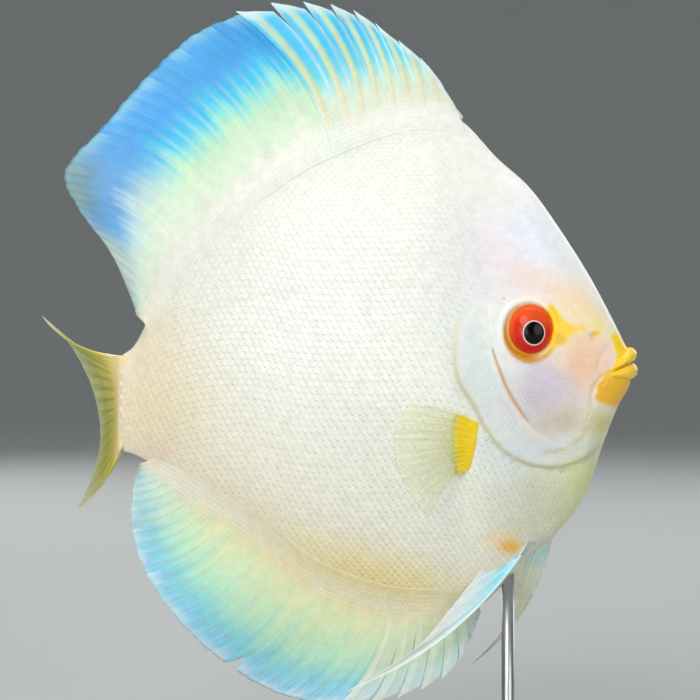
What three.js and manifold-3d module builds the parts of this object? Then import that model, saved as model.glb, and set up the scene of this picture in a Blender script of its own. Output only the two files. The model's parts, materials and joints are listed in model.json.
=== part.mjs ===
// An adult discus, a high-backed freshwater cichlid, as a still life-size figure on a display stand.
// Millimetres, +Z up. The fish swims towards +X with its snout a little raised, and +Y is its left.
// The origin is the middle of the base's underside. Everything is first made round the fish's own
// middle, with z = 0 there, and the last group lifts it onto the stand.
import * as THREE from "three";
import { mergeVertices } from "three/addons/utils/BufferGeometryUtils.js";
import Module from "manifold-3d";

const wasm = await Module();
wasm.setup();

// Driving dimensions
const GAP = 0.3; // between pieces that touch
const SNOUT_X = 69.6; // front of the head, without the lips
const STALK_X = -68; // end of the flesh of the tail
const SIDES = [
  ["right", -1],
  ["left", 1],
];
const STALK_CUT_X = -58; // where the tail stalk is parted from the trunk
const WIDEST = 0.46; // height of the thickest level, as a share of the body's depth
const EYE = { x: 42.8, z: 6.9, radius: 7.3, bulge: 2.4, depth: 6.5 };
const ORBIT = { radius: 8, thickness: 1.1, turn: 0.2 };
const NOSTRIL = { x: 59.6, z: 5.4, radius: 0.75 };
const MOUTH = { cornerX: 62.3, cornerZ: -4.9, frontX: 69.2, frontZ: -1.7, halfWidth: 5.5 };
const LIP_RADIUS = { upper: 1.75, lower: 2 };
const COVER = { thickness: 2.4, fromY: 1.6, lift: 0.35 }; // the gill covers
const SPINE_COUNT = { dorsal: 9, anal: 7 };
const SOFT_RAYS = { dorsal: 31, anal: 29, caudal: 14, pectoral: 12, pelvic: 6 };
const ROOT_DEPTH = 3; // how far a fin's root runs into the flesh before it is trimmed to it
const MEMBRANE = 0.3; // half the thickness of a fin between its rays
const RIDGE = 0.3; // how far a ray stands out of the membrane on either side
const PECTORAL_FLARE = 14; // how far the pectoral fins' tips stand out beyond their roots
const BASE = { length: 136, width: 84, thickness: 8, corner: 20, bevel: 1.5 };
const FLOOR_CLEARANCE = 13; // from the base's top to the lowest fin
const LOWEST_FIN_Z = -94;
const ROD = { x: 37, radius: 1.7, footRadius: 6, footHeight: 2 };
const LIFT = BASE.thickness + FLOOR_CLEARANCE - LOWEST_FIN_Z;
const FAR = 90; // farther than any part of the fish from its middle plane

// Rows of points along a ray, as shares of its length
const ROWS = [0, 0.1, 0.25, 0.48, 0.74, 1];
const PELVIC_ROWS = [0, 0.08, 0.2, 0.36, 0.52, 0.68, 0.84, 1];

// A smooth function of x through hand-set [x, value] pairs.
function through(points) {
  const p = [...points].sort((a, b) => a[0] - b[0]);
  const slope = p.map((_, i) => {
    const a = p[Math.max(i - 1, 0)];
    const b = p[Math.min(i + 1, p.length - 1)];
    return (b[1] - a[1]) / (b[0] - a[0]);
  });
  return (x) => {
    if (x <= p[0][0]) return p[0][1];
    if (x >= p.at(-1)[0]) return p.at(-1)[1];
    const i = p.findIndex((q) => q[0] > x) - 1;
    const span = p[i + 1][0] - p[i][0];
    const t = (x - p[i][0]) / span;
    const s = 1 - t;
    return (
      (1 + 2 * t) * s * s * p[i][1] +
      t * s * s * span * slope[i] +
      t * t * (3 - 2 * t) * p[i + 1][1] -
      t * t * s * span * slope[i + 1]
    );
  };
}

const smoothstep = (a, b, x) => THREE.MathUtils.smoothstep(x, a, b);
const mix = THREE.MathUtils.lerp;
const gauss = (d, width) => Math.exp(-((d / width) ** 2));

// The flesh: its upper and lower edges as seen from the side, and half its thickness
const backLine = through([
  [69.6, -2.6], [69.2, 0.4], [67.6, 3.4], [64.4, 9.9], [58.6, 20.8], [50.6, 33.5], [42.7, 44.4],
  [33.9, 52.5], [24.1, 62.6], [14, 64.8], [2.7, 62.7], [-18.8, 53.9], [-36.5, 41.1], [-51.5, 25.3],
  [-60.6, 9.4], [-64.5, 2.4], [-68, -0.2],
]);
const bellyLine = through([
  [69.6, -3.6], [69.1, -7.6], [66, -13.4], [61.8, -24.3], [57.4, -37], [49.4, -47.9], [44, -52.2],
  [39, -57.2], [34.5, -62.4], [29.5, -66.6], [18, -67.2], [4.1, -66.5], [-16.2, -59.2], [-32.5, -46.4],
  [-51.6, -33.9], [-63.9, -27.4], [-68, -26.2],
]);
const halfThickness = through([
  [69.6, 1.2], [69, 3], [67, 4.7], [64.5, 6], [61, 7.6], [57, 9.4], [51, 11.4], [44, 12.9], [34, 14],
  [20, 14.6], [5, 14.2], [-12, 12.8], [-28, 10.4], [-44, 7.3], [-56, 4.8], [-63, 3.5], [-68, 2.7],
]);
// How far the rear of the body is turned to the fish's left by the beat of the tail
const bend = (x) => 3 * Math.max(0, (-22 - x) / 46) ** 2;
const edgeSharpness = (x) => mix(0.64, 0.52, smoothstep(26, 52, x));

function section(x) {
  const top = backLine(x);
  const bottom = bellyLine(x);
  return { top, bottom, middle: mix(bottom, top, WIDEST) };
}

function plainFlank(x, z) {
  const { top, bottom, middle } = section(x);
  const t = z > middle ? (z - middle) / (top - middle) : (middle - z) / (middle - bottom);
  return halfThickness(x) * Math.max(0, 1 - t * t) ** edgeSharpness(x);
}

// Curves on the side of the head, from top to bottom, as [x, z]
const curve2 = (points, n) =>
  new THREE.SplineCurve(points.map(([x, z]) => new THREE.Vector2(x, z))).getPoints(n);
const gillMargin = curve2(
  [
    [28.7, 74], [28, 51], [28.5, 33], [28.8, 15.7], [25.2, 9.5], [24.1, 2.9], [25.1, -5.7],
    [29.1, -12.4], [32.4, -18.8], [36.6, -24], [43.1, -27.6], [50.2, -28.4], [56.1, -26.7],
    [61.3, -23.2], [66.5, -19.4],
  ],
  38,
);
const cheekEdge = curve2(
  [
    [31.6, 15], [32.4, 8.2], [33.5, 1.6], [35.3, -3.6], [37.4, -8.8], [40.5, -14], [43.9, -18.4],
    [48.3, -21.6], [54, -22.4], [59, -20],
  ],
  18,
);

const distanceTo = (curve, x, z) => Math.min(...curve.map((p) => Math.hypot(p.x - x, p.y - z)));

// What stands out of the smooth flank of the head: the cheek and the gill cover
function headRelief(x, z) {
  const cover = 0.9 * gauss(distanceTo(gillMargin.slice(9), x, z), 13);
  const cheek = 0.7 * gauss(Math.hypot(x - 48, z + 9), 11);
  return cover + cheek;
}

const { top: stalkTop, bottom: stalkBottom } = section(STALK_X);

// A closed skin from rings of points, each ring round the x axis, with a point at either end
function loft(rings) {
  const around = rings[0].length;
  const positions = rings.flat(2);
  const index = [];
  const quad = (i, j) => i * around + ((j + around) % around);
  for (let i = 0; i + 1 < rings.length; i++) {
    for (let j = 0; j < around; j++) {
      const [a, b, c, d] = [quad(i, j), quad(i, j + 1), quad(i + 1, j + 1), quad(i + 1, j)];
      index.push(a, b, c, a, c, d);
    }
  }
  for (const [ring, flip] of [[0, true], [rings.length - 1, false]]) {
    const points = rings[ring];
    const centre = [0, 1, 2].map((k) => points.reduce((sum, p) => sum + p[k], 0) / around);
    positions.push(...centre);
    const hub = positions.length / 3 - 1;
    for (let j = 0; j < around; j++) {
      const [a, b] = [quad(ring, j), quad(ring, j + 1)];
      index.push(...(flip ? [hub, b, a] : [hub, a, b]));
    }
  }
  return new THREE.BufferGeometry()
    .setAttribute("position", new THREE.Float32BufferAttribute(positions, 3))
    .setIndex(index);
}

// The whole of the flesh, grown outwards by `grow`, with or without the relief of the head
function flesh({ grow = 0, relief = false } = {}) {
  const stations = 42;
  const around = 32;
  const rings = [];
  for (let i = 0; i <= stations; i++) {
    const share = i / stations;
    const crowded = 0.5 + 0.5 * Math.sin(Math.max(0, share - 0.5) * Math.PI) ** 0.92;
    const x = mix(STALK_X, SNOUT_X - 0.05, share < 0.5 ? share : crowded);
    const { top, bottom, middle } = section(x);
    const slope = Math.hypot(1, (backLine(x + 0.5) - backLine(x - 0.5)) * 0.7);
    const ring = [];
    for (let j = 0; j < around; j++) {
      const angle = (j / around) * 2 * Math.PI;
      const rise = Math.sin(angle);
      const z = rise > 0 ? mix(middle, top, rise) : mix(middle, bottom, -rise);
      const side = Math.sign(Math.cos(angle)) * (Math.abs(Math.cos(angle)) > 1e-6);
      const swell = relief ? headRelief(x, z) * Math.abs(Math.cos(angle)) ** 0.7 : 0;
      const y = side * Math.max(0.05, plainFlank(x, z) + swell + grow);
      ring.push([x, y + bend(x), z + rise * grow * slope]);
    }
    rings.push(ring);
  }
  if (grow) {
    rings[0].forEach((p) => (p[0] -= grow));
    rings.at(-1).forEach((p) => (p[0] += grow));
  }
  return solid(loft(rings));
}

// Between three.js geometries and solids that can be cut and joined. One that is inside out is turned.
function solid(geometry, turned = false) {
  const bare = geometry.clone();
  bare.deleteAttribute("normal");
  bare.deleteAttribute("uv");
  const merged = mergeVertices(bare, 1e-4);
  const made = new wasm.Manifold(
    new wasm.Mesh({
      numProp: 3,
      vertProperties: merged.attributes.position.array,
      triVerts: new Uint32Array(merged.index.array),
    }),
  );
  if (made.volume() > 0 || turned) return made;
  return solid(merged.setIndex([...merged.index.array].reverse()), true);
}

function toGeometry(shape) {
  const mesh = shape.getMesh();
  const geometry = new THREE.BufferGeometry()
    .setAttribute("position", new THREE.BufferAttribute(mesh.vertProperties.slice(), 3))
    .setIndex(new THREE.BufferAttribute(mesh.triVerts.slice(), 1));
  geometry.computeVertexNormals();
  return geometry;
}

const largest = (shape) => shape.decompose().sort((a, b) => b.volume() - a.volume())[0];

// A flat outline of [x, z] points made solid from y0 to y1
function prism(points, y0, y1) {
  const outline = new THREE.Shape(points.map((p) => new THREE.Vector2(p.x, p.y)));
  return solid(
    new THREE.ExtrudeGeometry(outline, { depth: y1 - y0, bevelEnabled: false })
      .rotateX(Math.PI / 2)
      .translate(0, y1, 0),
  );
}

// A curve, or a closed loop, moved sideways: to its left if d is over 0
function aside(curve, d, closed = false) {
  const last = curve.length - 1;
  const leftOf = (a, b) => new THREE.Vector2(a.y - b.y, b.x - a.x).normalize();
  return curve.map((p, i) => {
    const before = curve[i ? i - 1 : closed ? last : 0];
    const after = curve[i < last ? i + 1 : closed ? 0 : last];
    const normals = [leftOf(before, p), leftOf(p, after)].filter((n) => n.lengthSq() > 0);
    const [n, m] = [normals[0], normals.at(-1)];
    const reach = d / Math.max(0.4, 1 + n.dot(m));
    return new THREE.Vector2(p.x + (n.x + m.x) * reach, p.y + (n.y + m.y) * reach);
  });
}

// A thin curved slab. at(i, j) gives the middle of the slab and half its thickness there; both faces
// get the same triangles, so that they can't cross where the slab bends.
function slab(columns, rows, at) {
  const grid = [];
  for (let i = 0; i < columns; i++) {
    grid.push([]);
    for (let j = 0; j < rows; j++) {
      const [point, half] = at(i, j);
      grid[i].push({ point, half });
    }
  }
  const positions = [];
  const { clamp } = THREE.MathUtils;
  for (const side of [1, -1]) {
    for (let i = 0; i < columns; i++) {
      for (let j = 0; j < rows; j++) {
        const step = (di, dj) => grid[clamp(i + di, 0, columns - 1)][clamp(j + dj, 0, rows - 1)].point;
        const across = new THREE.Vector3().subVectors(step(2, 0), step(-2, 0));
        const along = new THREE.Vector3().subVectors(step(0, 1), step(0, -1));
        const normal = across.cross(along).normalize();
        const { point, half } = grid[i][j];
        positions.push(...point.clone().addScaledVector(normal, side * half).toArray());
      }
    }
  }
  const index = [];
  const back = columns * rows;
  const id = (i, j) => i * rows + j;
  for (let i = 0; i + 1 < columns; i++) {
    for (let j = 0; j + 1 < rows; j++) {
      const [a, b, c, d] = [id(i, j), id(i + 1, j), id(i + 1, j + 1), id(i, j + 1)];
      index.push(a, b, c, a, c, d);
      index.push(back + a, back + c, back + b, back + a, back + d, back + c);
    }
  }
  const wall = (a, b) => index.push(a, back + a, b, b, back + a, back + b);
  for (let i = 0; i + 1 < columns; i++) {
    wall(id(i, 0), id(i + 1, 0));
    wall(id(i + 1, rows - 1), id(i, rows - 1));
  }
  for (let j = 0; j + 1 < rows; j++) {
    wall(id(0, j + 1), id(0, j));
    wall(id(columns - 1, j), id(columns - 1, j + 1));
  }
  const geometry = new THREE.BufferGeometry()
    .setAttribute("position", new THREE.Float32BufferAttribute(positions, 3))
    .setIndex(index);
  return solid(geometry);
}

// Fins are described by a few key rays, front to rear, each with its root x and z, its tip x and z and
// how far it bows forwards, as a share of its length. The rays between them follow smoothly.
function between(keys, u) {
  const at = THREE.MathUtils.clamp(u, 0, 1) * (keys.length - 1);
  const i = Math.min(Math.floor(at), keys.length - 2);
  const t = at - i;
  const pick = (k) => keys[THREE.MathUtils.clamp(k, 0, keys.length - 1)];
  return keys[0].map((_, n) => {
    const [p0, p1, p2, p3] = [pick(i - 1)[n], pick(i)[n], pick(i + 1)[n], pick(i + 2)[n]];
    const [m1, m2] = [(p2 - p0) / 2, (p3 - p1) / 2];
    const s = 1 - t;
    return (1 + 2 * t) * s * s * p1 + t * s * s * m1 + t * t * (3 - 2 * t) * p2 - t * t * s * m2;
  });
}

// A point on a ray: v is 0 at its root and 1 at its tip
function onRay([rootX, rootZ, tipX, tipZ, bow], v) {
  const [dx, dz] = [tipX - rootX, tipZ - rootZ];
  const arch = 4 * v * (1 - v) * bow * Math.sign(dz);
  return [rootX + dx * v + dz * arch, rootZ + dz * v - dx * arch];
}

// Half the thickness of a fin that stands on the edge of the flesh, by the distance from it
const sheath = (distance) => MEMBRANE + 1.5 * Math.exp(-Math.max(0, distance) / 5.5);

// A fin on the edge of the back or belly. columns lists u, the share of the ray that is kept, and
// whether a ray runs there.
function medianFin(keys, columns, edge, wave) {
  return slab(columns.length, ROWS.length, (i, j) => {
    const { u, keep, ray } = columns[i];
    const key = between(keys, u);
    key[1] = edge(key[0]);
    const length = Math.hypot(key[2] - key[0], key[3] - key[1]);
    const inside = -ROOT_DEPTH / length;
    const v = mix(inside, keep, ROWS[j]);
    const [x, z] = onRay(key, v);
    const half = sheath(v * length) + (ray ? RIDGE * smoothstep(0, 0.3, v) * (1 - 0.45 * v) : 0);
    return [new THREE.Vector3(x, bend(key[0]) + wave(u, Math.max(0, v)), z), half];
  });
}

// Columns for a stretch of soft rays, each a ridge between two dips
function softColumns(count, keep = () => 1) {
  return Array.from({ length: 2 * count + 1 }, (_, i) => {
    const u = i / (2 * count);
    return { u, keep: keep(u) - (i % 2 ? 0 : 0.012), ray: i % 2 === 1 };
  });
}

// Columns for spines, whose lobes of membrane are parted by slits `cut` deep at the margin
function spineColumns(count, cut) {
  const columns = [];
  for (let k = 0; k < count; k++) {
    const [from, to] = [k / count, (k + 1) / count];
    const depth = cut(from);
    if (k) columns.push({ u: from, keep: 1 - depth, ray: false });
    const front = k ? 1 - 0.35 * Math.min(depth, 0.12) : 0.5;
    columns.push({ u: mix(from, to, k ? 0.07 : 0), keep: front, ray: false });
    columns.push({ u: mix(from, to, 0.4), keep: 0.985, ray: false });
    columns.push({ u: mix(from, to, 0.66), keep: 1, ray: true });
    columns.push({ u: mix(from, to, 0.95), keep: 1.025, ray: false });
  }
  columns.push({ u: 1, keep: 0.97, ray: false });
  return columns;
}

const dorsalSpineKeys = [
  [24.6, 0, 23.4, 64.5, 0], [21, 0, 17.7, 74.4, 0.03], [16.5, 0, 12.1, 80.3, 0.04],
  [12.2, 0, 5.2, 85.4, 0.05], [7.5, 0, -1.4, 90.2, 0.06], [2.8, 0, -8, 92.6, 0.07],
  [-1.7, 0, -15.6, 93.6, 0.08], [-6.2, 0, -25.2, 93.6, 0.08], [-11, 0, -35, 91.3, 0.08],
];
const dorsalSoftKeys = [
  dorsalSpineKeys.at(-1), [-21, 0, -48, 86.2, 0.09], [-31, 0, -60.5, 75.6, 0.1],
  [-40, 0, -72.4, 62.2, 0.11], [-48.5, 0, -83, 49.8, 0.11], [-54.3, 0, -79.2, 39.4, 0.1],
  [-58.2, 0, -70.6, 27.4, 0.08], [-61.2, 0, -63.9, 12, 0.04],
];
const analSpineKeys = [
  [29, 0, 28.8, -70.5, 0], [25.5, 0, 26.6, -76.5, 0.02], [21.6, 0, 22.6, -83.4, 0.04],
  [17.6, 0, 16.4, -88, 0.06], [13.6, 0, 9.6, -90.8, 0.07], [9.4, 0, 1.4, -93, 0.09],
  [5, 0, -8.6, -94, 0.1],
];
const analSoftKeys = [
  analSpineKeys.at(-1), [-5.5, 0, -24.5, -91.6, 0.1], [-16, 0, -38.4, -84.4, 0.1],
  [-26, 0, -50.6, -73.8, 0.1], [-36, 0, -60.2, -60.6, 0.1], [-45, 0, -64.6, -48, 0.09],
  [-53.5, 0, -64.8, -37, 0.06], [-60.6, 0, -63, -30.2, 0],
];
// The small tear in the anal fin's margin, by its place along the fin
const analTear = (u) => 1 - 0.13 * gauss(u - 0.285, 0.012);

const skinCut = flesh({ grow: GAP });
const trim = (fin) => largest(fin.subtract(skinCut));

// Neighbouring stretches of one fin are parted along the ray between them
const parted = (keys, fromEnd) => {
  const pulled = keys.map((key) => [...key]);
  const [at, step] = fromEnd ? [pulled.length - 1, -1] : [0, 1];
  const toward = pulled[at + step];
  const share = GAP / Math.abs(toward[0] - pulled[at][0]);
  pulled[at][0] = mix(pulled[at][0], toward[0], share);
  pulled[at][2] += Math.sign(toward[2] - pulled[at][2]) * GAP * 1.3;
  return pulled;
};

const softWave = (amount) => (u, v) => amount * v * v * Math.sin(u * 7.5 - 0.6) * (1 - 0.3 * u);
const spinyWave = (amount) => (u, v) => amount * v * v * Math.sin(-0.6) * u;

const dorsalCut = (u) => mix(0.07, 0.3, smoothstep(0.3, 0.7, u));
const dorsalSpineColumns = spineColumns(SPINE_COUNT.dorsal, dorsalCut);
const dorsalSoftColumns = softColumns(SOFT_RAYS.dorsal);
const analSpineColumns = spineColumns(SPINE_COUNT.anal, () => 0.3);
const analSoftColumns = softColumns(SOFT_RAYS.anal, analTear);
const fins = {
  dorsal_fin_spiny: trim(medianFin(dorsalSpineKeys, dorsalSpineColumns, backLine, spinyWave(2.2))),
  dorsal_fin_soft: trim(medianFin(parted(dorsalSoftKeys), dorsalSoftColumns, backLine, softWave(2.2))),
  anal_fin_spiny: trim(medianFin(analSpineKeys, analSpineColumns, bellyLine, spinyWave(1.8))),
  anal_fin_soft: trim(medianFin(parted(analSoftKeys), analSoftColumns, bellyLine, softWave(1.8))),
};

// The caudal fin stands on the end of the tail stalk and is swept to the left, its middle the most
const onStalk = (share) => mix(stalkTop, stalkBottom, share);
const caudalKeys = [
  [stalkTop - 0.2, -94, 10.4, -0.1, 13.5], [onStalk(0.14), -87.6, 4, -0.04, 15.5],
  [onStalk(0.3), -82, -6, 0, 17], [onStalk(0.5), -79, -15.6, 0, 17.5], [onStalk(0.7), -78.2, -25, 0, 17],
  [onStalk(0.86), -80, -34.4, 0.03, 15.5], [stalkBottom + 0.2, -83.7, -43.5, 0.06, 13.5],
];
function caudalPoint(u, v) {
  const [rootZ, tipX, tipZ, bow, sweep] = between(caudalKeys, u);
  const [x, z] = onRay([STALK_X, rootZ, tipX, tipZ, bow], v);
  return new THREE.Vector3(x, bend(STALK_X) + Math.max(0, v) ** 1.35 * sweep + 2 * v, z);
}
fins.caudal_fin = trim(
  slab(2 * SOFT_RAYS.caudal + 1, ROWS.length, (i, j) => {
    const ray = i % 2 === 1;
    const u = i / (2 * SOFT_RAYS.caudal);
    const v = mix(-0.16, ray ? 1 : 0.985, ROWS[j]);
    const ridge = ray ? RIDGE * (1 - 0.5 * v) * smoothstep(0, 0.2, v) : 0;
    const half = MEMBRANE + 1.2 * Math.exp(-Math.max(0, v) * 7) + ridge;
    return [caudalPoint(u, v), half * (0.4 + 0.6 * smoothstep(-0.16, 0, v))];
  }),
);

// The pectoral fins fan out of a fleshy root behind the gill cover, held away from the flank
const pectoralKeys = [
  [28.7, -17, 12.5, -11.9, 0.06, 1], [28.4, -19.5, 9.8, -16.6, 0.04, 1.12],
  [28.1, -22.4, 8.6, -22.4, 0.02, 1.2], [27.6, -25, 9.6, -28.6, -0.02, 1.14],
  [27, -27.4, 12.6, -35.4, -0.05, 1], [26.4, -29.4, 17.3, -41.5, -0.08, 0.84],
];
function pectoral(side) {
  return trim(
    slab(2 * SOFT_RAYS.pectoral + 1, ROWS.length, (i, j) => {
      const u = i / (2 * SOFT_RAYS.pectoral);
      const ray = i % 2 === 1;
      const [rootX, rootZ, tipX, tipZ, bow, reach] = between(pectoralKeys, u);
      const v = mix(-0.1, ray ? 1 : 0.975, ROWS[j]);
      const [x, z] = onRay([rootX, rootZ, tipX, tipZ, bow], v);
      const out = plainFlank(rootX, rootZ) - 0.6 + PECTORAL_FLARE * reach * v * (1 - 0.18 * v);
      const ridge = ray ? 0.22 * smoothstep(0, 0.2, v) : 0;
      const half = MEMBRANE + 0.9 * Math.exp(-Math.max(0, v) * 9) + ridge;
      return [new THREE.Vector3(x, side * out, z), half];
    }),
  );
}

// The pelvic fins are long blades: the first ray the longest, the others ending along the rear edge.
// Each key is the root, the tip, the bow and the tip's distance from the middle plane.
const pelvicKeys = {
  right: [
    [43.6, -48.6, -5.6, -88.9, 0.085, 10], [42.6, -49.8, 0.5, -85.6, 0.07, 9.6],
    [41.2, -51.8, 13.4, -76.9, 0.05, 9], [40.6, -52.4, 22.5, -66.3, 0.03, 8],
    [40, -52.8, 27.4, -60, 0, 7.2], [39.4, -53.2, 31.1, -55.4, -0.02, 6.6],
  ],
  left: [
    [49, -46.6, 25.7, -86.8, 0.1, 28], [47.6, -47.6, 27, -85.6, 0.08, 27],
    [46.2, -48.6, 31.6, -80.9, 0.05, 23], [44.8, -49.6, 36.2, -73.4, 0.02, 17],
    [43.4, -50.4, 38.2, -65.8, 0, 12], [42, -51.2, 38, -59.4, -0.02, 8],
  ],
};
function pelvic(name, side) {
  const keys = pelvicKeys[name];
  return trim(
    slab(2 * SOFT_RAYS.pelvic + 1, PELVIC_ROWS.length, (i, j) => {
      const u = i / (2 * SOFT_RAYS.pelvic);
      const ray = i % 2 === 1;
      const [rootX, rootZ, tipX, tipZ, bow, spread] = between(keys, u);
      const v = mix(-0.06, 1, PELVIC_ROWS[j]);
      const [x, z] = onRay([rootX, rootZ, tipX, tipZ, bow], v);
      const rootY = Math.max(2.6, plainFlank(rootX, rootZ) - 0.4);
      const out = rootY + (spread - rootY) * Math.max(v, -0.1) ** (v > 0 ? 1.1 : 1);
      const ridge = ray ? 0.24 * (1 - v) * smoothstep(0, 0.1, v) : 0;
      const half = 0.32 + 0.7 * Math.exp(-Math.max(0, v) * 14) + ridge;
      return [new THREE.Vector3(x, side * (v > 0 ? out : rootY + v * 10), z), half];
    }),
  );
}
for (const [name, side] of SIDES) {
  fins["pectoral_fin_" + name] = pectoral(side);
  fins["pelvic_fin_" + name] = pelvic(name, side);
}

// Lips: rolls of flesh round the front of the snout, thinning to the corners of the mouth
function lip(above, radius, grow = 0) {
  const rings = [];
  const count = 20;
  const around = 10;
  for (let i = 0; i <= count; i++) {
    const turn = mix(-Math.PI / 2, Math.PI / 2, i / count);
    const share = Math.cos(turn);
    const reach = mix(MOUTH.cornerX, MOUTH.frontX, share ** 0.8);
    const thick = mix(0.45, radius, share ** 1.1);
    const y = MOUTH.halfWidth * Math.sin(turn) * mix(1.04, 1, share);
    const z = mix(MOUTH.cornerZ, MOUTH.frontZ, share) + above * (thick + GAP * 0.6);
    const outward = new THREE.Vector2(share, Math.sin(turn) * 0.9).normalize();
    const ring = [];
    for (let j = 0; j < around; j++) {
      const angle = (j / around) * 2 * Math.PI;
      const [c, s] = [Math.cos(angle) * (thick + grow), Math.sin(angle) * (thick * 1.12 + grow)];
      ring.push([reach + outward.x * c, y + outward.y * c, z + s]);
    }
    rings.push(ring);
  }
  return rings;
}
const lips = {
  upper: solid(loft(lip(1, LIP_RADIUS.upper))),
  lower: solid(loft(lip(-1, LIP_RADIUS.lower))),
};

// Eyes: flattened balls in sockets
const ball = (rx, ry, rz, x, y, z, detail) =>
  solid(
    new THREE.SphereGeometry(1, detail, Math.round(detail * 0.6))
      .scale(rx, ry, rz)
      .translate(x, y, z),
  );
const eyeY = plainFlank(EYE.x, EYE.z) + EYE.bulge - EYE.depth;
const eye = (side, grow) =>
  ball(EYE.radius + grow, EYE.depth + grow, EYE.radius + grow, EYE.x, side * eyeY, EYE.z, 16);

// The head is the flesh in front of the gill opening; each gill cover is a plate let into it
const box2 = (points) => points.map(([x, z]) => new THREE.Vector2(x, z));
const frontOf = (curve) => [...curve, ...box2([[FAR, curve.at(-1).y], [FAR, curve[0].y]])];
const headRegion = prism(frontOf(gillMargin), -FAR, FAR);
const headRegionGrown = prism(frontOf(aside(gillMargin, -GAP)), -FAR, FAR);
const raised = flesh({ relief: true });
const behindCut = [[-FAR, -FAR], [STALK_CUT_X, -FAR], [STALK_CUT_X, FAR], [-FAR, FAR]];
const stalkRegion = prism(box2(behindCut), -FAR, FAR);
const core = flesh({ relief: true, grow: -COVER.thickness });
const coreGrown = flesh({ relief: true, grow: -COVER.thickness - GAP });
const lifted = flesh({ relief: true, grow: COVER.lift });

const coverLoop = [...cheekEdge, ...gillMargin.slice(10, 34).reverse()];
const coverOutline = (inset) => aside(coverLoop, -inset, true);
function cover(side) {
  const [y0, y1] = side > 0 ? [COVER.fromY, FAR] : [-FAR, -COVER.fromY];
  const region = prism(coverOutline(0.15), y0, y1);
  return largest(lifted.subtract(core).intersect(region).intersect(headRegion));
}
function coverPocket(side) {
  const [y0, y1] = side > 0 ? [COVER.fromY - GAP, FAR] : [-FAR, -COVER.fromY + GAP];
  return prism(coverOutline(-0.15), y0, y1).subtract(coreGrown);
}

let head = raised.intersect(headRegion);
const covers = {};
const eyes = {};
for (const [name, side] of SIDES) {
  covers[name] = cover(side);
  eyes[name] = eye(side, 0);
  const nostrilY = side * (plainFlank(NOSTRIL.x, NOSTRIL.z) + 0.1);
  const pit = NOSTRIL.radius;
  const nostril = ball(pit * 1.3, pit, pit, NOSTRIL.x, nostrilY, NOSTRIL.z, 8);
  const orbitY = side * (plainFlank(EYE.x, EYE.z) - 0.15);
  const orbit = new THREE.TorusGeometry(ORBIT.radius, ORBIT.thickness, 5, 20)
    .rotateX(Math.PI / 2)
    .rotateZ(-side * ORBIT.turn)
    .translate(EYE.x, orbitY, EYE.z);
  head = head.add(solid(orbit)).subtract(coverPocket(side)).subtract(eye(side, GAP)).subtract(nostril);
}
head = head
  .subtract(solid(loft(lip(1, LIP_RADIUS.upper, GAP))))
  .subtract(solid(loft(lip(-1, LIP_RADIUS.lower, GAP))));
head = largest(head);
const trunk = raised.subtract(headRegionGrown);
const plainBody = flesh().subtract(headRegionGrown);
const torso = largest(plainBody.subtract(stalkRegion.translate([GAP, 0, 0])));
const stalk = largest(trunk.intersect(stalkRegion));

// The stand: a flat base with rounded corners and one rod up to the belly
function roundedPlate({ length, width, thickness, corner, bevel }) {
  const [hx, hy] = [length / 2 - bevel, width / 2 - bevel];
  const r = corner - bevel;
  const outline = new THREE.Shape();
  outline.moveTo(-hx + r, -hy);
  const corners = [
    [hx - r, -hy + r, -0.5], [hx - r, hy - r, 0],
    [-hx + r, hy - r, 0.5], [-hx + r, -hy + r, 1],
  ];
  for (const [cx, cy, start] of corners) {
    outline.absarc(cx, cy, r, start * Math.PI, (start + 0.5) * Math.PI, false);
  }
  return new THREE.ExtrudeGeometry(outline, {
    depth: thickness - 2 * bevel,
    bevelThickness: bevel,
    bevelSize: bevel,
    bevelSegments: 1,
    curveSegments: 5,
  }).translate(0, 0, bevel - LIFT);
}
const baseTop = BASE.thickness - LIFT;
const rodTop = bellyLine(ROD.x) + 3;
const footZ = baseTop + GAP;
const rodProfile = [
  [0, footZ], [ROD.footRadius, footZ], [ROD.footRadius, footZ + ROD.footHeight * 0.6],
  [ROD.radius + 1, footZ + ROD.footHeight], [ROD.radius, footZ + ROD.footHeight + 1.5],
  [ROD.radius, rodTop], [0, rodTop],
].map(([r, z]) => new THREE.Vector2(r, z));
const rodTurned = new THREE.LatheGeometry(rodProfile, 16).rotateX(Math.PI / 2);
const rod = trim(solid(rodTurned.translate(ROD.x, 0, 0)));

// Materials, by what they cover
const paint = (colour, roughness, metalness = 0) =>
  new THREE.MeshStandardMaterial({ color: colour, roughness, metalness });
const skin = paint(0xece6d6, 0.4);
const finBlue = paint(0x9fd8ea, 0.45);
const finYellow = paint(0xd8d489, 0.45);
const lipYellow = paint(0xf0c020, 0.4);
const irisRed = paint(0xd83018, 0.15);
const steel = paint(0xb8bcc0, 0.3, 1);
const wood = paint(0x3a2a20, 0.5);

const fish = new THREE.Group();
function add(name, shape, material) {
  const mesh = new THREE.Mesh(shape.isBufferGeometry ? shape : toGeometry(shape), material);
  mesh.name = name;
  fish.add(mesh);
}
add("head", head, skin);
add("torso", torso, skin);
add("tail_stalk", stalk, skin);
add("lip_upper", lips.upper, lipYellow);
add("lip_lower", lips.lower, lipYellow);
for (const [name] of SIDES) {
  add("gill_cover_" + name, covers[name], skin);
  add("eye_" + name, eyes[name], irisRed);
  add("pectoral_fin_" + name, fins["pectoral_fin_" + name], finYellow);
  add("pelvic_fin_" + name, fins["pelvic_fin_" + name], finBlue);
}
for (const name of ["dorsal_fin_spiny", "dorsal_fin_soft", "anal_fin_spiny", "anal_fin_soft"]) {
  add(name, fins[name], finBlue);
}
add("caudal_fin", fins.caudal_fin, finYellow);
add("stand_rod", rod, steel);
add("stand_base", roundedPlate(BASE), wood);

fish.position.z = LIFT;
const model = new THREE.Group();
model.add(fish);
export default model;
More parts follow.
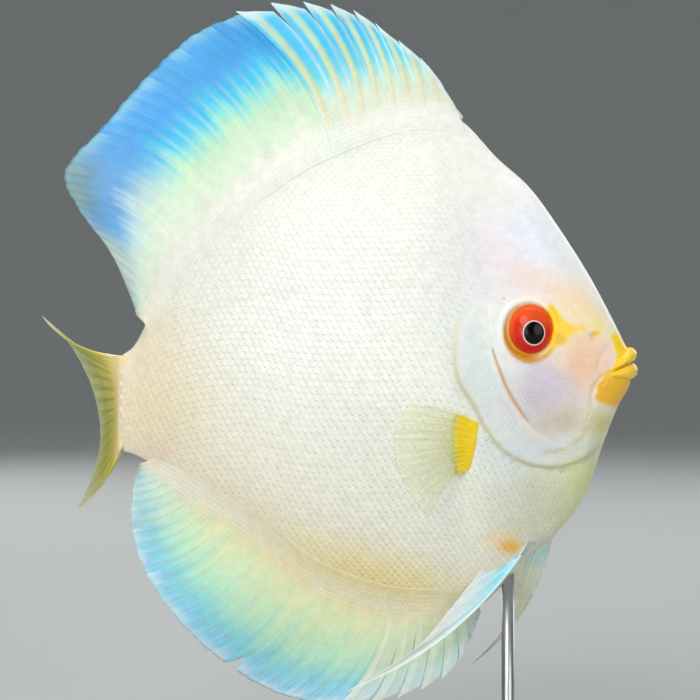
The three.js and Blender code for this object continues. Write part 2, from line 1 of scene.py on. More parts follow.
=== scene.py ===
# An adult discus as a still life-size figure on a display stand.
# Shapes are worked out in millimetres round the fish's own middle, then lifted onto the stand.
import bpy
import json
import math
import numpy as np
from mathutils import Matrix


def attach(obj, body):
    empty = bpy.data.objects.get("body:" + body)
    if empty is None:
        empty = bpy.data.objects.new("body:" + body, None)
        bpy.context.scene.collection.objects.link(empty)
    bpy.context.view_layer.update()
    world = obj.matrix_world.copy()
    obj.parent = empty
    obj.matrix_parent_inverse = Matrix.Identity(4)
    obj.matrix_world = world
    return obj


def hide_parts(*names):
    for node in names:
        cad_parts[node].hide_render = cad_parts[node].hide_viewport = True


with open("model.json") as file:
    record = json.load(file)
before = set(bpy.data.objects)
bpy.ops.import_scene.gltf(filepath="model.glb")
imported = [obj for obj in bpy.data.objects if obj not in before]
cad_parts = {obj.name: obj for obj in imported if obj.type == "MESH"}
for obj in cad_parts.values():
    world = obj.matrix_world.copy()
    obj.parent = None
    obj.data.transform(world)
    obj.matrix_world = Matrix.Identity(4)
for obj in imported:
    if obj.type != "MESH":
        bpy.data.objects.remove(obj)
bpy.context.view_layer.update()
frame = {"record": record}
rng = np.random.default_rng(7)

LIFT = 115.0  # mm from the underside of the base to the fish's middle
SNOUT_X = 69.6
STALK_X = -68.0
WIDEST = 0.46
SKIN_DEPTH = 0.15  # mm the skin lies inside the solids' surface
TURN = 2 * math.pi

# The camera of the photograph: azimuth, elevation, distance and mm for a pixel at the fish
VIEW = {"azimuth": 6.0, "elevation": 1.0, "distance": 620.0, "pixel": 0.268, "aim": (-5.36, 0.0, 1.34)}


# Small maths helpers

def through(points):
    """A smooth function of x through [x, value] pairs, for arrays too."""
    p = np.array(sorted(points), float)
    xs, ys = p[:, 0], p[:, 1]
    slope = np.empty(len(p))
    slope[1:-1] = (ys[2:] - ys[:-2]) / (xs[2:] - xs[:-2])
    slope[0] = (ys[1] - ys[0]) / (xs[1] - xs[0])
    slope[-1] = (ys[-1] - ys[-2]) / (xs[-1] - xs[-2])

    def value(x):
        x = np.clip(np.asarray(x, float), xs[0], xs[-1])
        i = np.clip(np.searchsorted(xs, x, side="right") - 1, 0, len(xs) - 2)
        span = xs[i + 1] - xs[i]
        t = (x - xs[i]) / span
        s = 1 - t
        return ((1 + 2 * t) * s * s * ys[i] + t * s * s * span * slope[i]
                + t * t * (3 - 2 * t) * ys[i + 1] - t * t * s * span * slope[i + 1])
    return value


def mix(a, b, t):
    return a + (b - a) * t


def smooth(a, b, x):
    t = np.clip((np.asarray(x, float) - a) / (b - a), 0, 1)
    return t * t * (3 - 2 * t)


def gauss(d, width):
    return np.exp(-(d / width) ** 2)


def spline(points, n):
    """Catmull-Rom curve through 2-D points, as n points."""
    p = np.array(points, float)
    p = np.vstack([2 * p[0] - p[1], p, 2 * p[-1] - p[-2]])
    t = np.linspace(0, len(points) - 1, n)
    i = np.minimum(t.astype(int), len(points) - 2)
    f = (t - i)[:, None]
    a, b, c, d = p[i], p[i + 1], p[i + 2], p[i + 3]
    return 0.5 * (2 * b + (c - a) * f + (2 * a - 5 * b + 4 * c - d) * f ** 2
                  + (3 * b - a - 3 * c + d) * f ** 3)


def distance(curve, x, z):
    """Distance from each point to a curve, and which side of it: over 0 in front of it."""
    shape = np.shape(x)
    x, z = np.ravel(x), np.ravel(z)
    best = np.full(x.shape, 1e9)
    side = np.zeros(x.shape)
    for k in range(len(curve) - 1):
        a, b = curve[k], curve[k + 1]
        ab = b - a
        t = np.clip(((x - a[0]) * ab[0] + (z - a[1]) * ab[1]) / (ab @ ab), 0, 1)
        dx, dz = x - a[0] - t * ab[0], z - a[1] - t * ab[1]
        d = np.hypot(dx, dz)
        near = d < best
        best = np.where(near, d, best)
        side = np.where(near, np.sign(ab[0] * dz - ab[1] * dx), side)
    return best.reshape(shape), side.reshape(shape)


def linear(rgb):
    c = np.array(rgb, float) / 255
    return np.where(c <= 0.04045, c / 12.92, ((c + 0.055) / 1.055) ** 2.4)


def stain(colour, rgb, weight):
    """A linear colour drawn towards an sRGB one, by a weight from 0 to 1."""
    return mix(colour, linear(rgb), np.asarray(weight)[..., None])


def unit(v):
    return v / (np.linalg.norm(v, axis=-1, keepdims=True) + 1e-9)


# The body: the same edges and thickness as the solids

back_line = through([
    (69.6, -2.6), (69.2, 0.4), (67.6, 3.4), (64.4, 9.9), (58.6, 20.8), (50.6, 33.5), (42.7, 44.4),
    (33.9, 52.5), (24.1, 62.6), (14, 64.8), (2.7, 62.7), (-18.8, 53.9), (-36.5, 41.1), (-51.5, 25.3),
    (-60.6, 9.4), (-64.5, 2.4), (-68, -0.2)])
belly_line = through([
    (69.6, -3.6), (69.1, -7.6), (66, -13.4), (61.8, -24.3), (57.4, -37), (49.4, -47.9), (44, -52.2),
    (39, -57.2), (34.5, -62.4), (29.5, -66.6), (18, -67.2), (4.1, -66.5), (-16.2, -59.2), (-32.5, -46.4),
    (-51.6, -33.9), (-63.9, -27.4), (-68, -26.2)])
half_thickness = through([
    (69.6, 1.2), (69, 3), (67, 4.7), (64.5, 6), (61, 7.6), (57, 9.4), (51, 11.4), (44, 12.9), (34, 14),
    (20, 14.6), (5, 14.2), (-12, 12.8), (-28, 10.4), (-44, 7.3), (-56, 4.8), (-63, 3.5), (-68, 2.7)])


def bend(x):
    return 3 * (np.maximum(0, -22 - np.asarray(x, float)) / 46) ** 2


def flank(x, z):
    top, bottom = back_line(x), belly_line(x)
    middle = mix(bottom, top, WIDEST)
    t = np.where(z > middle, (z - middle) / (top - middle), (middle - z) / (middle - bottom))
    power = mix(0.64, 0.52, smooth(26, 52, x))
    return half_thickness(x) * np.maximum(0, 1 - t * t) ** power


gill_margin = spline([
    (28.7, 74), (28, 51), (28.5, 33), (28.8, 15.7), (25.2, 9.5), (24.1, 2.9), (25.1, -5.7), (29.1, -12.4),
    (32.4, -18.8), (36.6, -24), (43.1, -27.6), (50.2, -28.4), (56.1, -26.7), (61.3, -23.2), (66.5, -19.4)],
    60)
cheek_edge = spline([
    (31.6, 15), (32.4, 8.2), (33.5, 1.6), (35.3, -3.6), (37.4, -8.8), (40.5, -14), (43.9, -18.4),
    (48.3, -21.6), (54, -22.6), (60, -20.4)], 40)
jaw_line = spline([(47, -25), (50.9, -24.6), (54.5, -23), (56.6, -20.9), (57.6, -18.8)], 16)
lateral_line = spline([(24, 15), (12, 18.6), (-4, 19.4), (-20, 17.6), (-35, 14), (-49, 9.9)], 40)
jaw_crease = spline([(61.6, -5.4), (59.6, -8.5), (59.2, -12.5), (60.6, -17)], 16)
snout_crease = spline([(64.6, 3.4), (61.8, 0.6), (60.8, -3.2)], 12)

EYE = {"x": 42.8, "z": 6.9, "radius": 7.3, "bulge": 2.0, "depth": 6.5, "turn": 0.2, "narrow": 0.9}
NOSTRIL = (59.6, 5.4)
PORES = [(57.8, -0.4), (61.8, -7.4), (47.6, -22.8), (55, 11.6), (51.4, 15), (58.4, -15.6), (53.4, -21.2),
         (36.4, 14.6), (35.4, 2), (40.2, 17.6), (50.4, -5.2), (47.4, 18.2)]


def relief(x, z):
    """What stands out of, or is sunk into, the smooth flank of the head."""
    d, side = distance(gill_margin, x, z)
    low = smooth(17, 5, z) * smooth(66, 58, x)
    front = side > 0
    cover = np.where(front, 0.55 * gauss(d, 13), 0.55 * gauss(d, 1.0)) * low
    cover -= np.where(front, 0, 0.12 * gauss(d - 1.8, 1.2)) * low
    e, side = distance(cheek_edge, x, z)
    groove = -0.14 * gauss(e, 0.5) + np.where(side > 0, 0.05, 0.12) * gauss(e - 1.6, 1.1)
    groove = groove * smooth(60, 54, x) * mix(0.35, 1, smooth(-21, -16, z))
    r = np.hypot((x - EYE["x"]) / EYE["narrow"], z - EYE["z"])
    rim = 0.35 * gauss(r - 7.9, 0.8) - 1.3 * smooth(7.2, 6.7, r)
    out = cover + groove + rim + 0.7 * gauss(np.hypot(x - 48, z + 9), 11) * smooth(0, 3, r - 7)
    n = np.hypot((x - NOSTRIL[0]) * 0.8, z - NOSTRIL[1])
    out += -0.75 * gauss(n, 0.55) + 0.2 * gauss(n - 1.1, 0.35)
    for px, pz in PORES:
        q = np.hypot(x - px, z - pz)
        out += -0.22 * gauss(q, 0.4) + 0.05 * gauss(q - 0.8, 0.3)
    out += -0.3 * gauss(distance(jaw_crease, x, z)[0], 0.5)
    out += -0.18 * gauss(distance(snout_crease, x, z)[0], 0.5)
    out += 0.1 * np.sin(z * 2.1 + x) * gauss(np.hypot(x - 61, z + 11), 4) * 0.6
    return out


def surface(x, z, depth=SKIN_DEPTH):
    f = flank(x, z)
    out = np.maximum(0.02, f - depth)
    head = np.asarray(x) > 20
    if np.any(head):
        out = np.where(head, np.maximum(0.02, f + relief(x, z) * smooth(0, 3, f) - depth), out)
    return out


# Markings, and some painted shade. Each patch is a soft ellipse: name, x, z, radii, turn in degrees, colour,
# strength, edge.

IVORY = (242, 242, 228)
PATCHES = [
    ("bright flank", -8, 12, 42, 30, 10, (250, 252, 246), 0.8, 2),
    ("warm lower flank", -28, -30, 34, 12, -38, (254, 246, 224), 0.6, 2),
    ("warm line over the anal fin", 0, -58, 34, 8, -14, (255, 234, 164), 0.9, 2),
    ("warm line behind it", -36, -38, 26, 6, -34, (248, 234, 196), 0.6, 2),
    ("peach tail stalk", -60, -14, 17, 17, 0, (242, 220, 172), 0.75, 2),
    ("peach upper stalk", -56, 4, 10, 12, 60, (242, 224, 190), 0.5, 2),
    ("pink lower stalk", -57, -26, 6, 4, 20, (240, 200, 176), 0.4, 2),
    ("mint back", -10, 57, 40, 7, -24, (228, 236, 218), 0.6, 2),
    ("white shoulder", 22, 36, 22, 14, -20, (246, 242, 236), 0.6, 2),
    ("lavender nape", 36, 26, 14, 16, 20, (234, 226, 236), 0.8, 2),
    ("pink over the eye", 46.5, 18.5, 11, 5, -34, (244, 214, 200), 0.8, 2),
    ("blue forehead", 47, 32, 11, 9, -50, (232, 238, 252), 0.8, 2),
    # painted shade: the chest's greyish tone, darkened on the underside as if lit from above
    ("grey chest with painted shade", 45, -38, 14, 12, 30, (204, 204, 176), 0.8, 2),
    ("throat", 58, -32, 12, 8, 68, (216, 222, 150), 0.85, 2),
    ("belly", 34, -58, 14, 8, 40, (242, 236, 214), 0.6, 2),
    # painted shadow: a beige-tan band just behind the gill cover's rear edge
    ("painted shadow behind the gill cover", 27.5, -8, 3, 9, 20, (206, 196, 150), 0.45, 2),
    ("gill cover", 31, -8, 7, 22, 14, (214, 228, 232), 0.75, 2),
    ("gill cover below", 44, -24.5, 16, 4, 4, (214, 226, 230), 0.8, 2),
    ("lavender cheek", 46, -10, 10, 10, 0, (204, 192, 206), 0.9, 2),
    ("lilac glint", 50, -5.5, 6, 3, -20, (208, 196, 226), 0.7, 2),
    ("tan cheek below", 52, -17, 8, 4, 10, (202, 182, 154), 0.7, 2),
    ("peach snout", 57.5, -1, 7.4, 10, 16, (238, 190, 148), 0.92, 2.4),
    ("pink snout", 62, 1, 2.6, 3, 0, (242, 204, 190), 0.6, 2),
    ("cream brow wash", 55.5, 12, 7.5, 5.5, -50, (252, 224, 172), 0.85, 2),
    ("yellow nose wash", 61, 8, 2.4, 3.6, 40, (248, 228, 130), 0.7, 2),
    ("olive lower jaw", 62, -17.5, 4, 3, 62, (206, 190, 90), 0.7, 2),
    ("orange by the pelvic fin", 38, -50.2, 3.2, 1.9, 16, (255, 196, 10), 0.95, 3),
    ("orange edge", 36.4, -48, 4.6, 3, 30, (248, 206, 130), 0.5, 2),
    ("lilac pore", 55, -11.7, 1.1, 1.6, 0, (222, 204, 216), 0.7, 2),
    ("pink pore", 61.8, -6.8, 0.7, 0.6, 0, (250, 206, 160), 0.9, 2),
    ("pink glint", 58.1, -0.2, 0.8, 0.6, 0, (250, 206, 206), 0.9, 2),
]
# Outlined yellow marks of the snout: outline, colour, strength, softness of the edge in mm
MARKS = [
    ([(48, 14.1), (49.8, 13.1), (51.9, 10), (54.7, 7.9), (57.3, 7.6), (57.6, 6.6), (54.7, 5.8), (53.4, 5),
      (52.4, 3.7), (50.8, 3.2), (49, 2), (47.6, 4.2), (47.6, 8.1), (47.2, 12)], (255, 212, 0), 0.98, 0.6),
    ([(49.4, 6), (52.4, 5.4), (52.2, 3.6), (49.6, 2.8)], (240, 170, 0), 0.6, 0.8),
    ([(59.5, 6.2), (60.6, 6.6), (61, 5.4), (60.4, 4.4), (59.5, 4.8)], (250, 200, 0), 0.97, 0.5),
    ([(64.2, 5.2), (65.8, 6.2), (67.6, 4.2), (72, 2), (72, -2), (68, -2.4), (65.7, -2.9), (64.9, -2.1),
      (65.4, 0), (64.9, 2.1)], (255, 214, 0), 0.98, 0.4),
    ([(61.8, -5), (62.8, -3.9), (64.9, -3.2), (67.8, -3), (72, -2.6), (72, -6), (70, -9), (68, -12.4),
      (65.7, -13.6), (63.9, -13), (61.3, -12), (60.2, -11), (60.7, -8.9), (60.2, -7.6), (61.5, -6.8),
      (62, -5.7)], (244, 186, 0), 0.97, 0.5),
    ([(61.8, -5), (64.9, -3.2), (67.8, -3), (72, -2.6), (72, -5), (66, -5.6), (63, -6.2)], (250, 208, 40),
      0.7, 0.6)]


def in_outline(outline, x, z):
    """Whether points lie inside a closed outline."""
    hit = np.zeros(x.shape, bool)
    for a, b in zip(outline, outline[1:] + outline[:1]):
        crosses = (a[1] > z) != (b[1] > z)
        hit ^= crosses & (x < (b[0] - a[0]) * (z - a[1]) / (b[1] - a[1] + 1e-9) + a[0])
    return hit


def mark_weight(outline, softness, x, z):
    away, _ = distance(np.array(outline + outline[:1]), x, z)
    return smooth(softness, -softness, np.where(in_outline(outline, x, z), -away, away))


def eye_ring(colour, x, z):
    """The rim of the eye: cream above, yellow before, ochre below and behind, and a painted highlight low in
    front.
    """
    dx, dz = (x - EYE["x"]) / EYE["narrow"], z - EYE["z"]
    r = np.hypot(dx, dz)
    turn = np.degrees(np.arctan2(dx, -dz))
    strength = np.interp(turn, [-180, -130, -90, -40, 0, 60, 110, 150, 180],
                         [0.1, 0.6, 1, 1, 1, 1, 0.7, 0.2, 0.1])
    reach = np.interp(turn, [-180, -130, -90, -40, 0, 60, 110, 180], [7.6, 7.2, 7.3, 8.1, 8.7, 9, 8.4, 7.6])
    ring = stain(linear((204, 142, 4)), (250, 200, 0), smooth(10, 70, turn))
    colour = mix(colour, ring, (0.97 * strength * smooth(reach + 0.5, reach - 0.4, r))[..., None])
    inner = stain(ring, (244, 196, 120), smooth(40, 130, np.abs(turn)))
    colour = mix(colour, inner, (0.9 * smooth(7.35, 6.95, r))[..., None])
    colour = stain(colour, (254, 250, 236), 0.95 * gauss(r - 7.7, 0.9) * gauss(180 - np.abs(turn), 42))
    # painted highlight: a cream crescent low in front, between the iris and the yellow rim
    return stain(colour, (252, 236, 200), 0.9 * gauss(r - 7.1, 0.45) * gauss(turn - 36, 20))


def patch_weight(patch, x, z):
    _, px, pz, rx, rz, turn, _, strength, edge = patch
    c, s = math.cos(math.radians(turn)), math.sin(math.radians(turn))
    a = ((x - px) * c + (z - pz) * s) / rx
    b = (-(x - px) * s + (z - pz) * c) / rz
    return strength * np.exp(-np.hypot(a, b) ** edge)


def ripple(x, z, scale, seed):
    """Soft unevenness from a few crossed waves, about -1 to 1."""
    waves = np.random.default_rng(seed)
    total = 0
    for _ in range(6):
        angle, phase = waves.uniform(0, math.pi), waves.uniform(0, 6.28)
        f = waves.uniform(0.6, 1.6) / scale
        total = total + np.sin((x * math.cos(angle) + z * math.sin(angle)) * f + phase)
    return total / 3.5


def skin_colour(x, z):
    """Linear colour of the skin and scales at a place on the side."""
    x, z = np.asarray(x, float), np.asarray(z, float)
    colour = np.empty(x.shape + (3,))
    colour[:] = linear(IVORY)
    wx = x + 0.8 * ripple(x, z, 2.4, 3)
    wz = z + 0.8 * ripple(x, z, 2.4, 4)
    for patch in PATCHES:
        colour = stain(colour, patch[6], patch_weight(patch, wx, wz))
    # painted highlight along the top edge of the forehead, as if lit from above
    colour = stain(colour, (254, 255, 252),
                   0.8 * gauss(back_line(x) - z, 5) * smooth(14, 30, x) * smooth(66, 56, x))
    # a yellow-green band along the underside of the throat
    colour = stain(colour, (232, 236, 176),
                   0.55 * gauss(z - belly_line(x), 4) * smooth(44, 52, x) * smooth(66, 60, x))
    # painted shadow along the gill cover's rear edge, the ochre line on the cheek and the line of the jaw
    d, side = distance(gill_margin, x, z)
    low = smooth(17, 5, z) * smooth(66, 58, x)
    gill_edge_shadow = gauss(d + np.where(side > 0, 0, -0.6), 0.8) * np.where(side > 0, 0.3, 1) * low
    colour = stain(colour, (190, 178, 120), 0.6 * gill_edge_shadow)
    e, _ = distance(cheek_edge, x, z)
    tail_off = smooth(2.6, 1.4, z) * mix(0.06, 1, smooth(-21, -14, z)) * smooth(60, 52, x)
    breadth = mix(0.3, 0.5, smooth(2, -8, z) * smooth(-19, -12, z))
    colour = stain(colour, (196, 140, 40), 0.9 * gauss(e, breadth) * tail_off)
    colour = stain(colour, (204, 190, 120), 0.5 * gauss(distance(jaw_line, x, z)[0], 0.7))
    # lateral line and faint rows on the flank
    e, _ = distance(lateral_line, x, z)
    colour = stain(colour, (206, 188, 140),
                   0.22 * gauss(e, 0.45) * (0.6 + 0.4 * np.sin(x * 3.1)) * smooth(26, 18, x))
    rows = 0.5 + 0.5 * np.sin((z + 0.06 * x) * TURN / 3.8)
    on_flank = gauss(np.hypot(x - 8, (z + 4) * 1.1), 34) * smooth(0, 1, d) * (side < 0)
    colour = stain(colour, (226, 222, 188), 0.1 * rows * on_flank)
    near = (x > 34) & (z > -20) & (z < 22)
    if np.any(near):
        part = eye_ring(colour[near], x[near], z[near])
        mark_x, mark_z = (x[near] + wx[near]) / 2, (z[near] + wz[near]) / 2
        for outline, tone, strength, softness in MARKS:
            part = stain(part, tone, strength * mark_weight(outline, softness, mark_x, mark_z))
        colour[near] = part
    colour *= (1 + 0.015 * ripple(x, z, 5, 8))[..., None]
    return np.clip(colour, 0, 1)


# Meshes

def add_mesh(name, verts, faces, material, replaced=(), slot=None, tint=None, alpha=None, bake=None,
             flat=None):
    """A mesh piece from millimetre points, with a linear colour for each point and marks on flat faces."""
    v = np.asarray(verts, float).reshape(-1, 3).copy()
    v[:, 2] += LIFT
    f = np.asarray(faces, int)
    a, b, c = v[f[:, 0]], v[f[:, 1]], v[f[:, 2]]
    volume = np.einsum("ij,ij->i", a, np.cross(b, c)).sum()
    if f.shape[1] == 4:
        volume += np.einsum("ij,ij->i", a, np.cross(c, v[f[:, 3]])).sum()
    if volume < 0:
        f = f[:, ::-1]
    mesh = bpy.data.meshes.new(name)
    mesh.from_pydata((v / 1000).tolist(), [], f.tolist())
    mesh.polygons.foreach_set("use_smooth", np.ones(len(f), bool) if flat is None else ~flat)
    if tint is not None:
        rgba = np.ones((len(v), 4), np.float32)
        rgba[:, :3] = np.asarray(tint).reshape(-1, 3)
        if alpha is not None:
            rgba[:, 3] = np.ravel(alpha)
        mesh.color_attributes.new("Tint", "FLOAT_COLOR", "POINT").data.foreach_set("color", rgba.ravel())
    if bake is not None:
        loops = np.empty(len(mesh.loops), int)
        mesh.loops.foreach_get("vertex_index", loops)
        mesh.uv_layers.new(name="OFBake").data.foreach_set("uv", np.asarray(bake, np.float32)[loops].ravel())
    mesh.materials.append(material)
    mesh.update()
    obj = bpy.data.objects.new(name, mesh)
    bpy.context.scene.collection.objects.link(obj)
    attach(obj, "root")
    if replaced:
        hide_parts(*replaced)
    return obj


def grid_faces(rows, columns, close=False):
    """Quads of a grid of points, with the columns joined into rings if close."""
    i, j = np.meshgrid(np.arange(rows - 1), np.arange(columns if close else columns - 1), indexing="ij")
    i, j = i.ravel(), j.ravel()
    k = (j + 1) % columns
    return np.stack([i * columns + j, i * columns + k, (i + 1) * columns + k, (i + 1) * columns + j], 1)


def slab(middle, half):
    """Both faces and the edges of a thin curved slab, from its middle surface and half its thickness."""
    n, m = middle.shape[:2]
    normal = unit(np.cross(np.gradient(middle, axis=0), np.gradient(middle, axis=1)))
    verts = np.concatenate([(middle + normal * half[..., None]).reshape(-1, 3),
                            (middle - normal * half[..., None]).reshape(-1, 3)])
    return verts, slab_faces(n, m)[0]


def slab_faces(n, m):
    """Quads of a slab of two n by m grids, the first grid's first, and how many those are."""
    count = n * m
    top = grid_faces(n, m)
    rim = np.concatenate([np.arange(m), np.arange(1, n) * m + m - 1, (n - 1) * m + np.arange(m - 2, -1, -1),
                          np.arange(n - 2, 0, -1) * m])
    after = np.roll(rim, -1)
    walls = np.stack([rim, rim + count, after + count, after], 1)
    return np.concatenate([top, walls, (top + count)[:, ::-1]]), len(top)


def add_sheet(name, middle, half, node, slot, tone, clear):
    """A thin curved slab as a piece, with the same colour and opacity on both faces."""
    verts, faces = slab(middle, half)
    return add_mesh(name, verts, faces, clear_fin_material, (node,), slot, np.concatenate([tone, tone]),
                    np.concatenate([clear, clear]))


def capped(rings, push=0.0):
    """Points and triangles of closed rings with a point in each end, the first one pushed out in -x."""
    rows, around = rings.shape[:2]
    n = rows * around
    j = np.arange(around)
    k = (j + 1) % around
    quads = grid_faces(rows, around, close=True)
    faces = np.concatenate([quads[:, [0, 1, 2]], quads[:, [0, 2, 3]], np.stack([k, j, np.full(around, n)], 1),
                            np.stack([n - around + j, n - around + k, np.full(around, n + 1)], 1)])
    ends = [rings[0].mean(0) - (push, 0, 0), rings[-1].mean(0)]
    return np.concatenate([rings.reshape(-1, 3), ends]), faces


# Materials

def set_sockets(node, values):
    """Set a node's sockets by name, with _ for a space."""
    for name, value in values.items():
        node.inputs[name.replace("_", " ")].default_value = value


def add_node(tree, kind, **values):
    node = tree.nodes.new("ShaderNode" + kind)
    set_sockets(node, values)
    return node


def wire(tree, *wires):
    """Links, each a node and its output, then a node and its input."""
    for source, output, target, socket in wires:
        tree.links.new(source.outputs[output], target.inputs[socket])


def principled(name, **values):
    material = bpy.data.materials.new(name)
    material.use_nodes = True
    shader = material.node_tree.nodes["Principled BSDF"]
    set_sockets(shader, values)
    return material, material.node_tree, shader


def tinted(name, bump=None, clear=False, **values):
    """A material in the mesh's own Tint colours, slightly uneven, with its opacity too if clear."""
    material, tree, shader = principled(
        name, Subsurface_Radius=(1.0, 0.7, 0.5), Subsurface_Scale=0.0008, Coat_Roughness=0.18, **values)
    place = add_node(tree, "TexCoord")
    tint = add_node(tree, "VertexColor")
    tint.layer_name = "Tint"
    noise = add_node(tree, "TexNoise", Scale=420, Detail=4)
    uneven = add_node(tree, "MapRange", From_Min=0.3, From_Max=0.7, To_Min=0.94, To_Max=1.04)
    product = add_node(tree, "VectorMath")
    product.operation = "SCALE"
    wire(tree, (place, "Object", noise, "Vector"), (noise, "Fac", uneven, "Value"),
         (tint, "Color", product, 0), (uneven, "Result", product, "Scale"),
         (product, "Vector", shader, "Base Color"))
    if clear:
        wire(tree, (tint, "Alpha", shader, "Alpha"))
    if bump:
        scale, strength, depth = bump
        grain = add_node(tree, "TexNoise", Scale=scale, Detail=3)
        height = add_node(tree, "Bump", Strength=strength, Distance=depth)
        wire(tree, (place, "Object", grain, "Vector"), (grain, "Fac", height, "Height"),
             (height, "Normal", shader, "Normal"))
    return material


skin_material, scale_material = (
    tinted(name, (1600, 0.15, 0.0001), Roughness=0.4, Subsurface_Weight=0.1, Coat_Weight=0.25)
    for name in ("skin", "scales"))
clear_fin_material = tinted("clear_fins", (1800, 0.2, 0.0001), True, Roughness=0.35, Subsurface_Weight=0.4,
                            Coat_Weight=0.2)
lip_material = tinted("lips", (900, 0.3, 0.0003), Roughness=0.32, Subsurface_Weight=0.3, Coat_Weight=0.4)
eye_material = tinted("eyes", Roughness=0.14, Specular_IOR_Level=0.22)


# The skin of the whole body, in rings along it

def heights(x, level):
    """Height z for each x and level, where 1 is the back, 0 the widest place and -1 the belly."""
    top, bottom = back_line(x)[:, None], belly_line(x)[:, None]
    middle = mix(bottom, top, WIDEST)
    return np.where(level > 0, mix(middle, top, level), mix(middle, bottom, -level))


AROUND = 480
head_x = np.arange(24, SNOUT_X - 1.2, 0.5)
tip_x = SNOUT_X - 0.05 - np.linspace(1.1, 0, 14) ** 1.6
stations = np.concatenate([np.arange(STALK_X, 24, 1.0), head_x, tip_x])
angle = np.arange(AROUND) / AROUND * TURN
ring_z = heights(stations, np.sin(angle))
ring_x = np.repeat(stations[:, None], AROUND, 1)
ring_y = np.sign(np.round(np.cos(angle), 9)) * surface(ring_x, ring_z) + bend(ring_x)
verts, faces = capped(np.stack([ring_x, ring_y, ring_z], -1), 0.4)
add_mesh("skin", verts, faces, skin_material,
         ("head", "torso", "tail_stalk", "gill_cover_left", "gill_cover_right"),
         "skin", skin_colour(verts[:, 0], verts[:, 2]))

# Fins. A key ray of the back and belly fins is its root x, tip x and z, and how far it bows forwards.


def between(keys, u):
    keys = np.array(keys, float)
    at = np.clip(u, 0, 1) * (len(keys) - 1)
    i = np.minimum(at.astype(int), len(keys) - 2)
    t = (at - i)[:, None]
    last = len(keys) - 1
    p0, p1, p2, p3 = keys[np.maximum(i - 1, 0)], keys[i], keys[i + 1], keys[np.minimum(i + 2, last)]
    m1, m2 = (p2 - p0) / 2, (p3 - p1) / 2
    s = 1 - t
    return (1 + 2 * t) * s * s * p1 + t * s * s * m1 + t * t * (3 - 2 * t) * p2 - t * t * s * m2


def on_ray(root_x, root_z, tip_x, tip_z, bow, v):
    dx, dz = (tip_x - root_x)[:, None], (tip_z - root_z)[:, None]
    arch = 4 * v * (1 - v) * bow[:, None] * np.sign(dz)
    return root_x[:, None] + dx * v + dz * arch, root_z[:, None] + dz * v - dx * arch


def branches(phase, v, width, first=0.42, second=0.74):
    """Height, 0 to 1, of a ray that forks twice on its way out. phase is 0 to 1 across it."""
    p = phase[:, None] - 0.5
    one = 0.17 * smooth(first, 0.95, v)
    two = 0.08 * smooth(second, 1, v)
    w = width * mix(1, 0.55, smooth(0.3, 1, v))
    height = 0
    for a in (-1, 1):
        for b in (-1, 1):
            height = np.maximum(height, gauss(p - a * one - b * two, w))
    return height


def ramp(d, stops):
    at = [s[0] for s in stops]
    colours = np.array([linear(s[1]) for s in stops])
    return np.stack([np.interp(d, at, colours[:, c]) for c in range(3)], -1)


DORSAL_SPINES = [
    (24.6, 23.4, 64.5, 0), (21, 17.7, 74.4, 0.03), (16.5, 12.1, 80.3, 0.04), (12.2, 5.2, 85.4, 0.05),
    (7.5, -1.4, 90.2, 0.06), (2.8, -8, 92.6, 0.07), (-1.7, -15.6, 93.6, 0.08), (-6.2, -25.2, 93.6, 0.08),
    (-11, -35, 91.3, 0.08)]
DORSAL_SOFT = [
    (-11, -35, 91.3, 0.08), (-21, -48, 86.2, 0.09), (-31, -60.5, 75.6, 0.1), (-40, -72.4, 62.2, 0.11),
    (-48.5, -83, 49.8, 0.11), (-54.3, -79.2, 39.4, 0.1), (-58.2, -70.6, 27.4, 0.08),
    (-61.2, -63.9, 12, 0.04)]
ANAL_SPINES = [
    (29, 28.8, -70.5, 0), (25.5, 26.6, -76.5, 0.02), (21.6, 22.6, -83.4, 0.04), (17.6, 16.4, -88, 0.06),
    (13.6, 9.6, -90.8, 0.07), (9.4, 1.4, -93, 0.09), (5, -8.6, -94, 0.1)]
ANAL_SOFT = [
    (5, -8.6, -94, 0.1), (-5.5, -24.5, -91.6, 0.1), (-16, -38.4, -84.4, 0.1), (-26, -50.6, -73.8, 0.1),
    (-36, -60.2, -60.6, 0.1), (-45, -64.6, -48, 0.09), (-53.5, -64.8, -37, 0.06), (-60.6, -63, -30.2, 0)]
ROOT_DEPTH = 5.0  # mm a fin's sheet reaches into the flesh
FIN_EDGE = 0.13  # mm, half the thickness of a thin membrane


FIN_ROWS, SPINE_COLUMNS, RAY_COLUMNS = 64, 20, 12
fin_sheets = {}


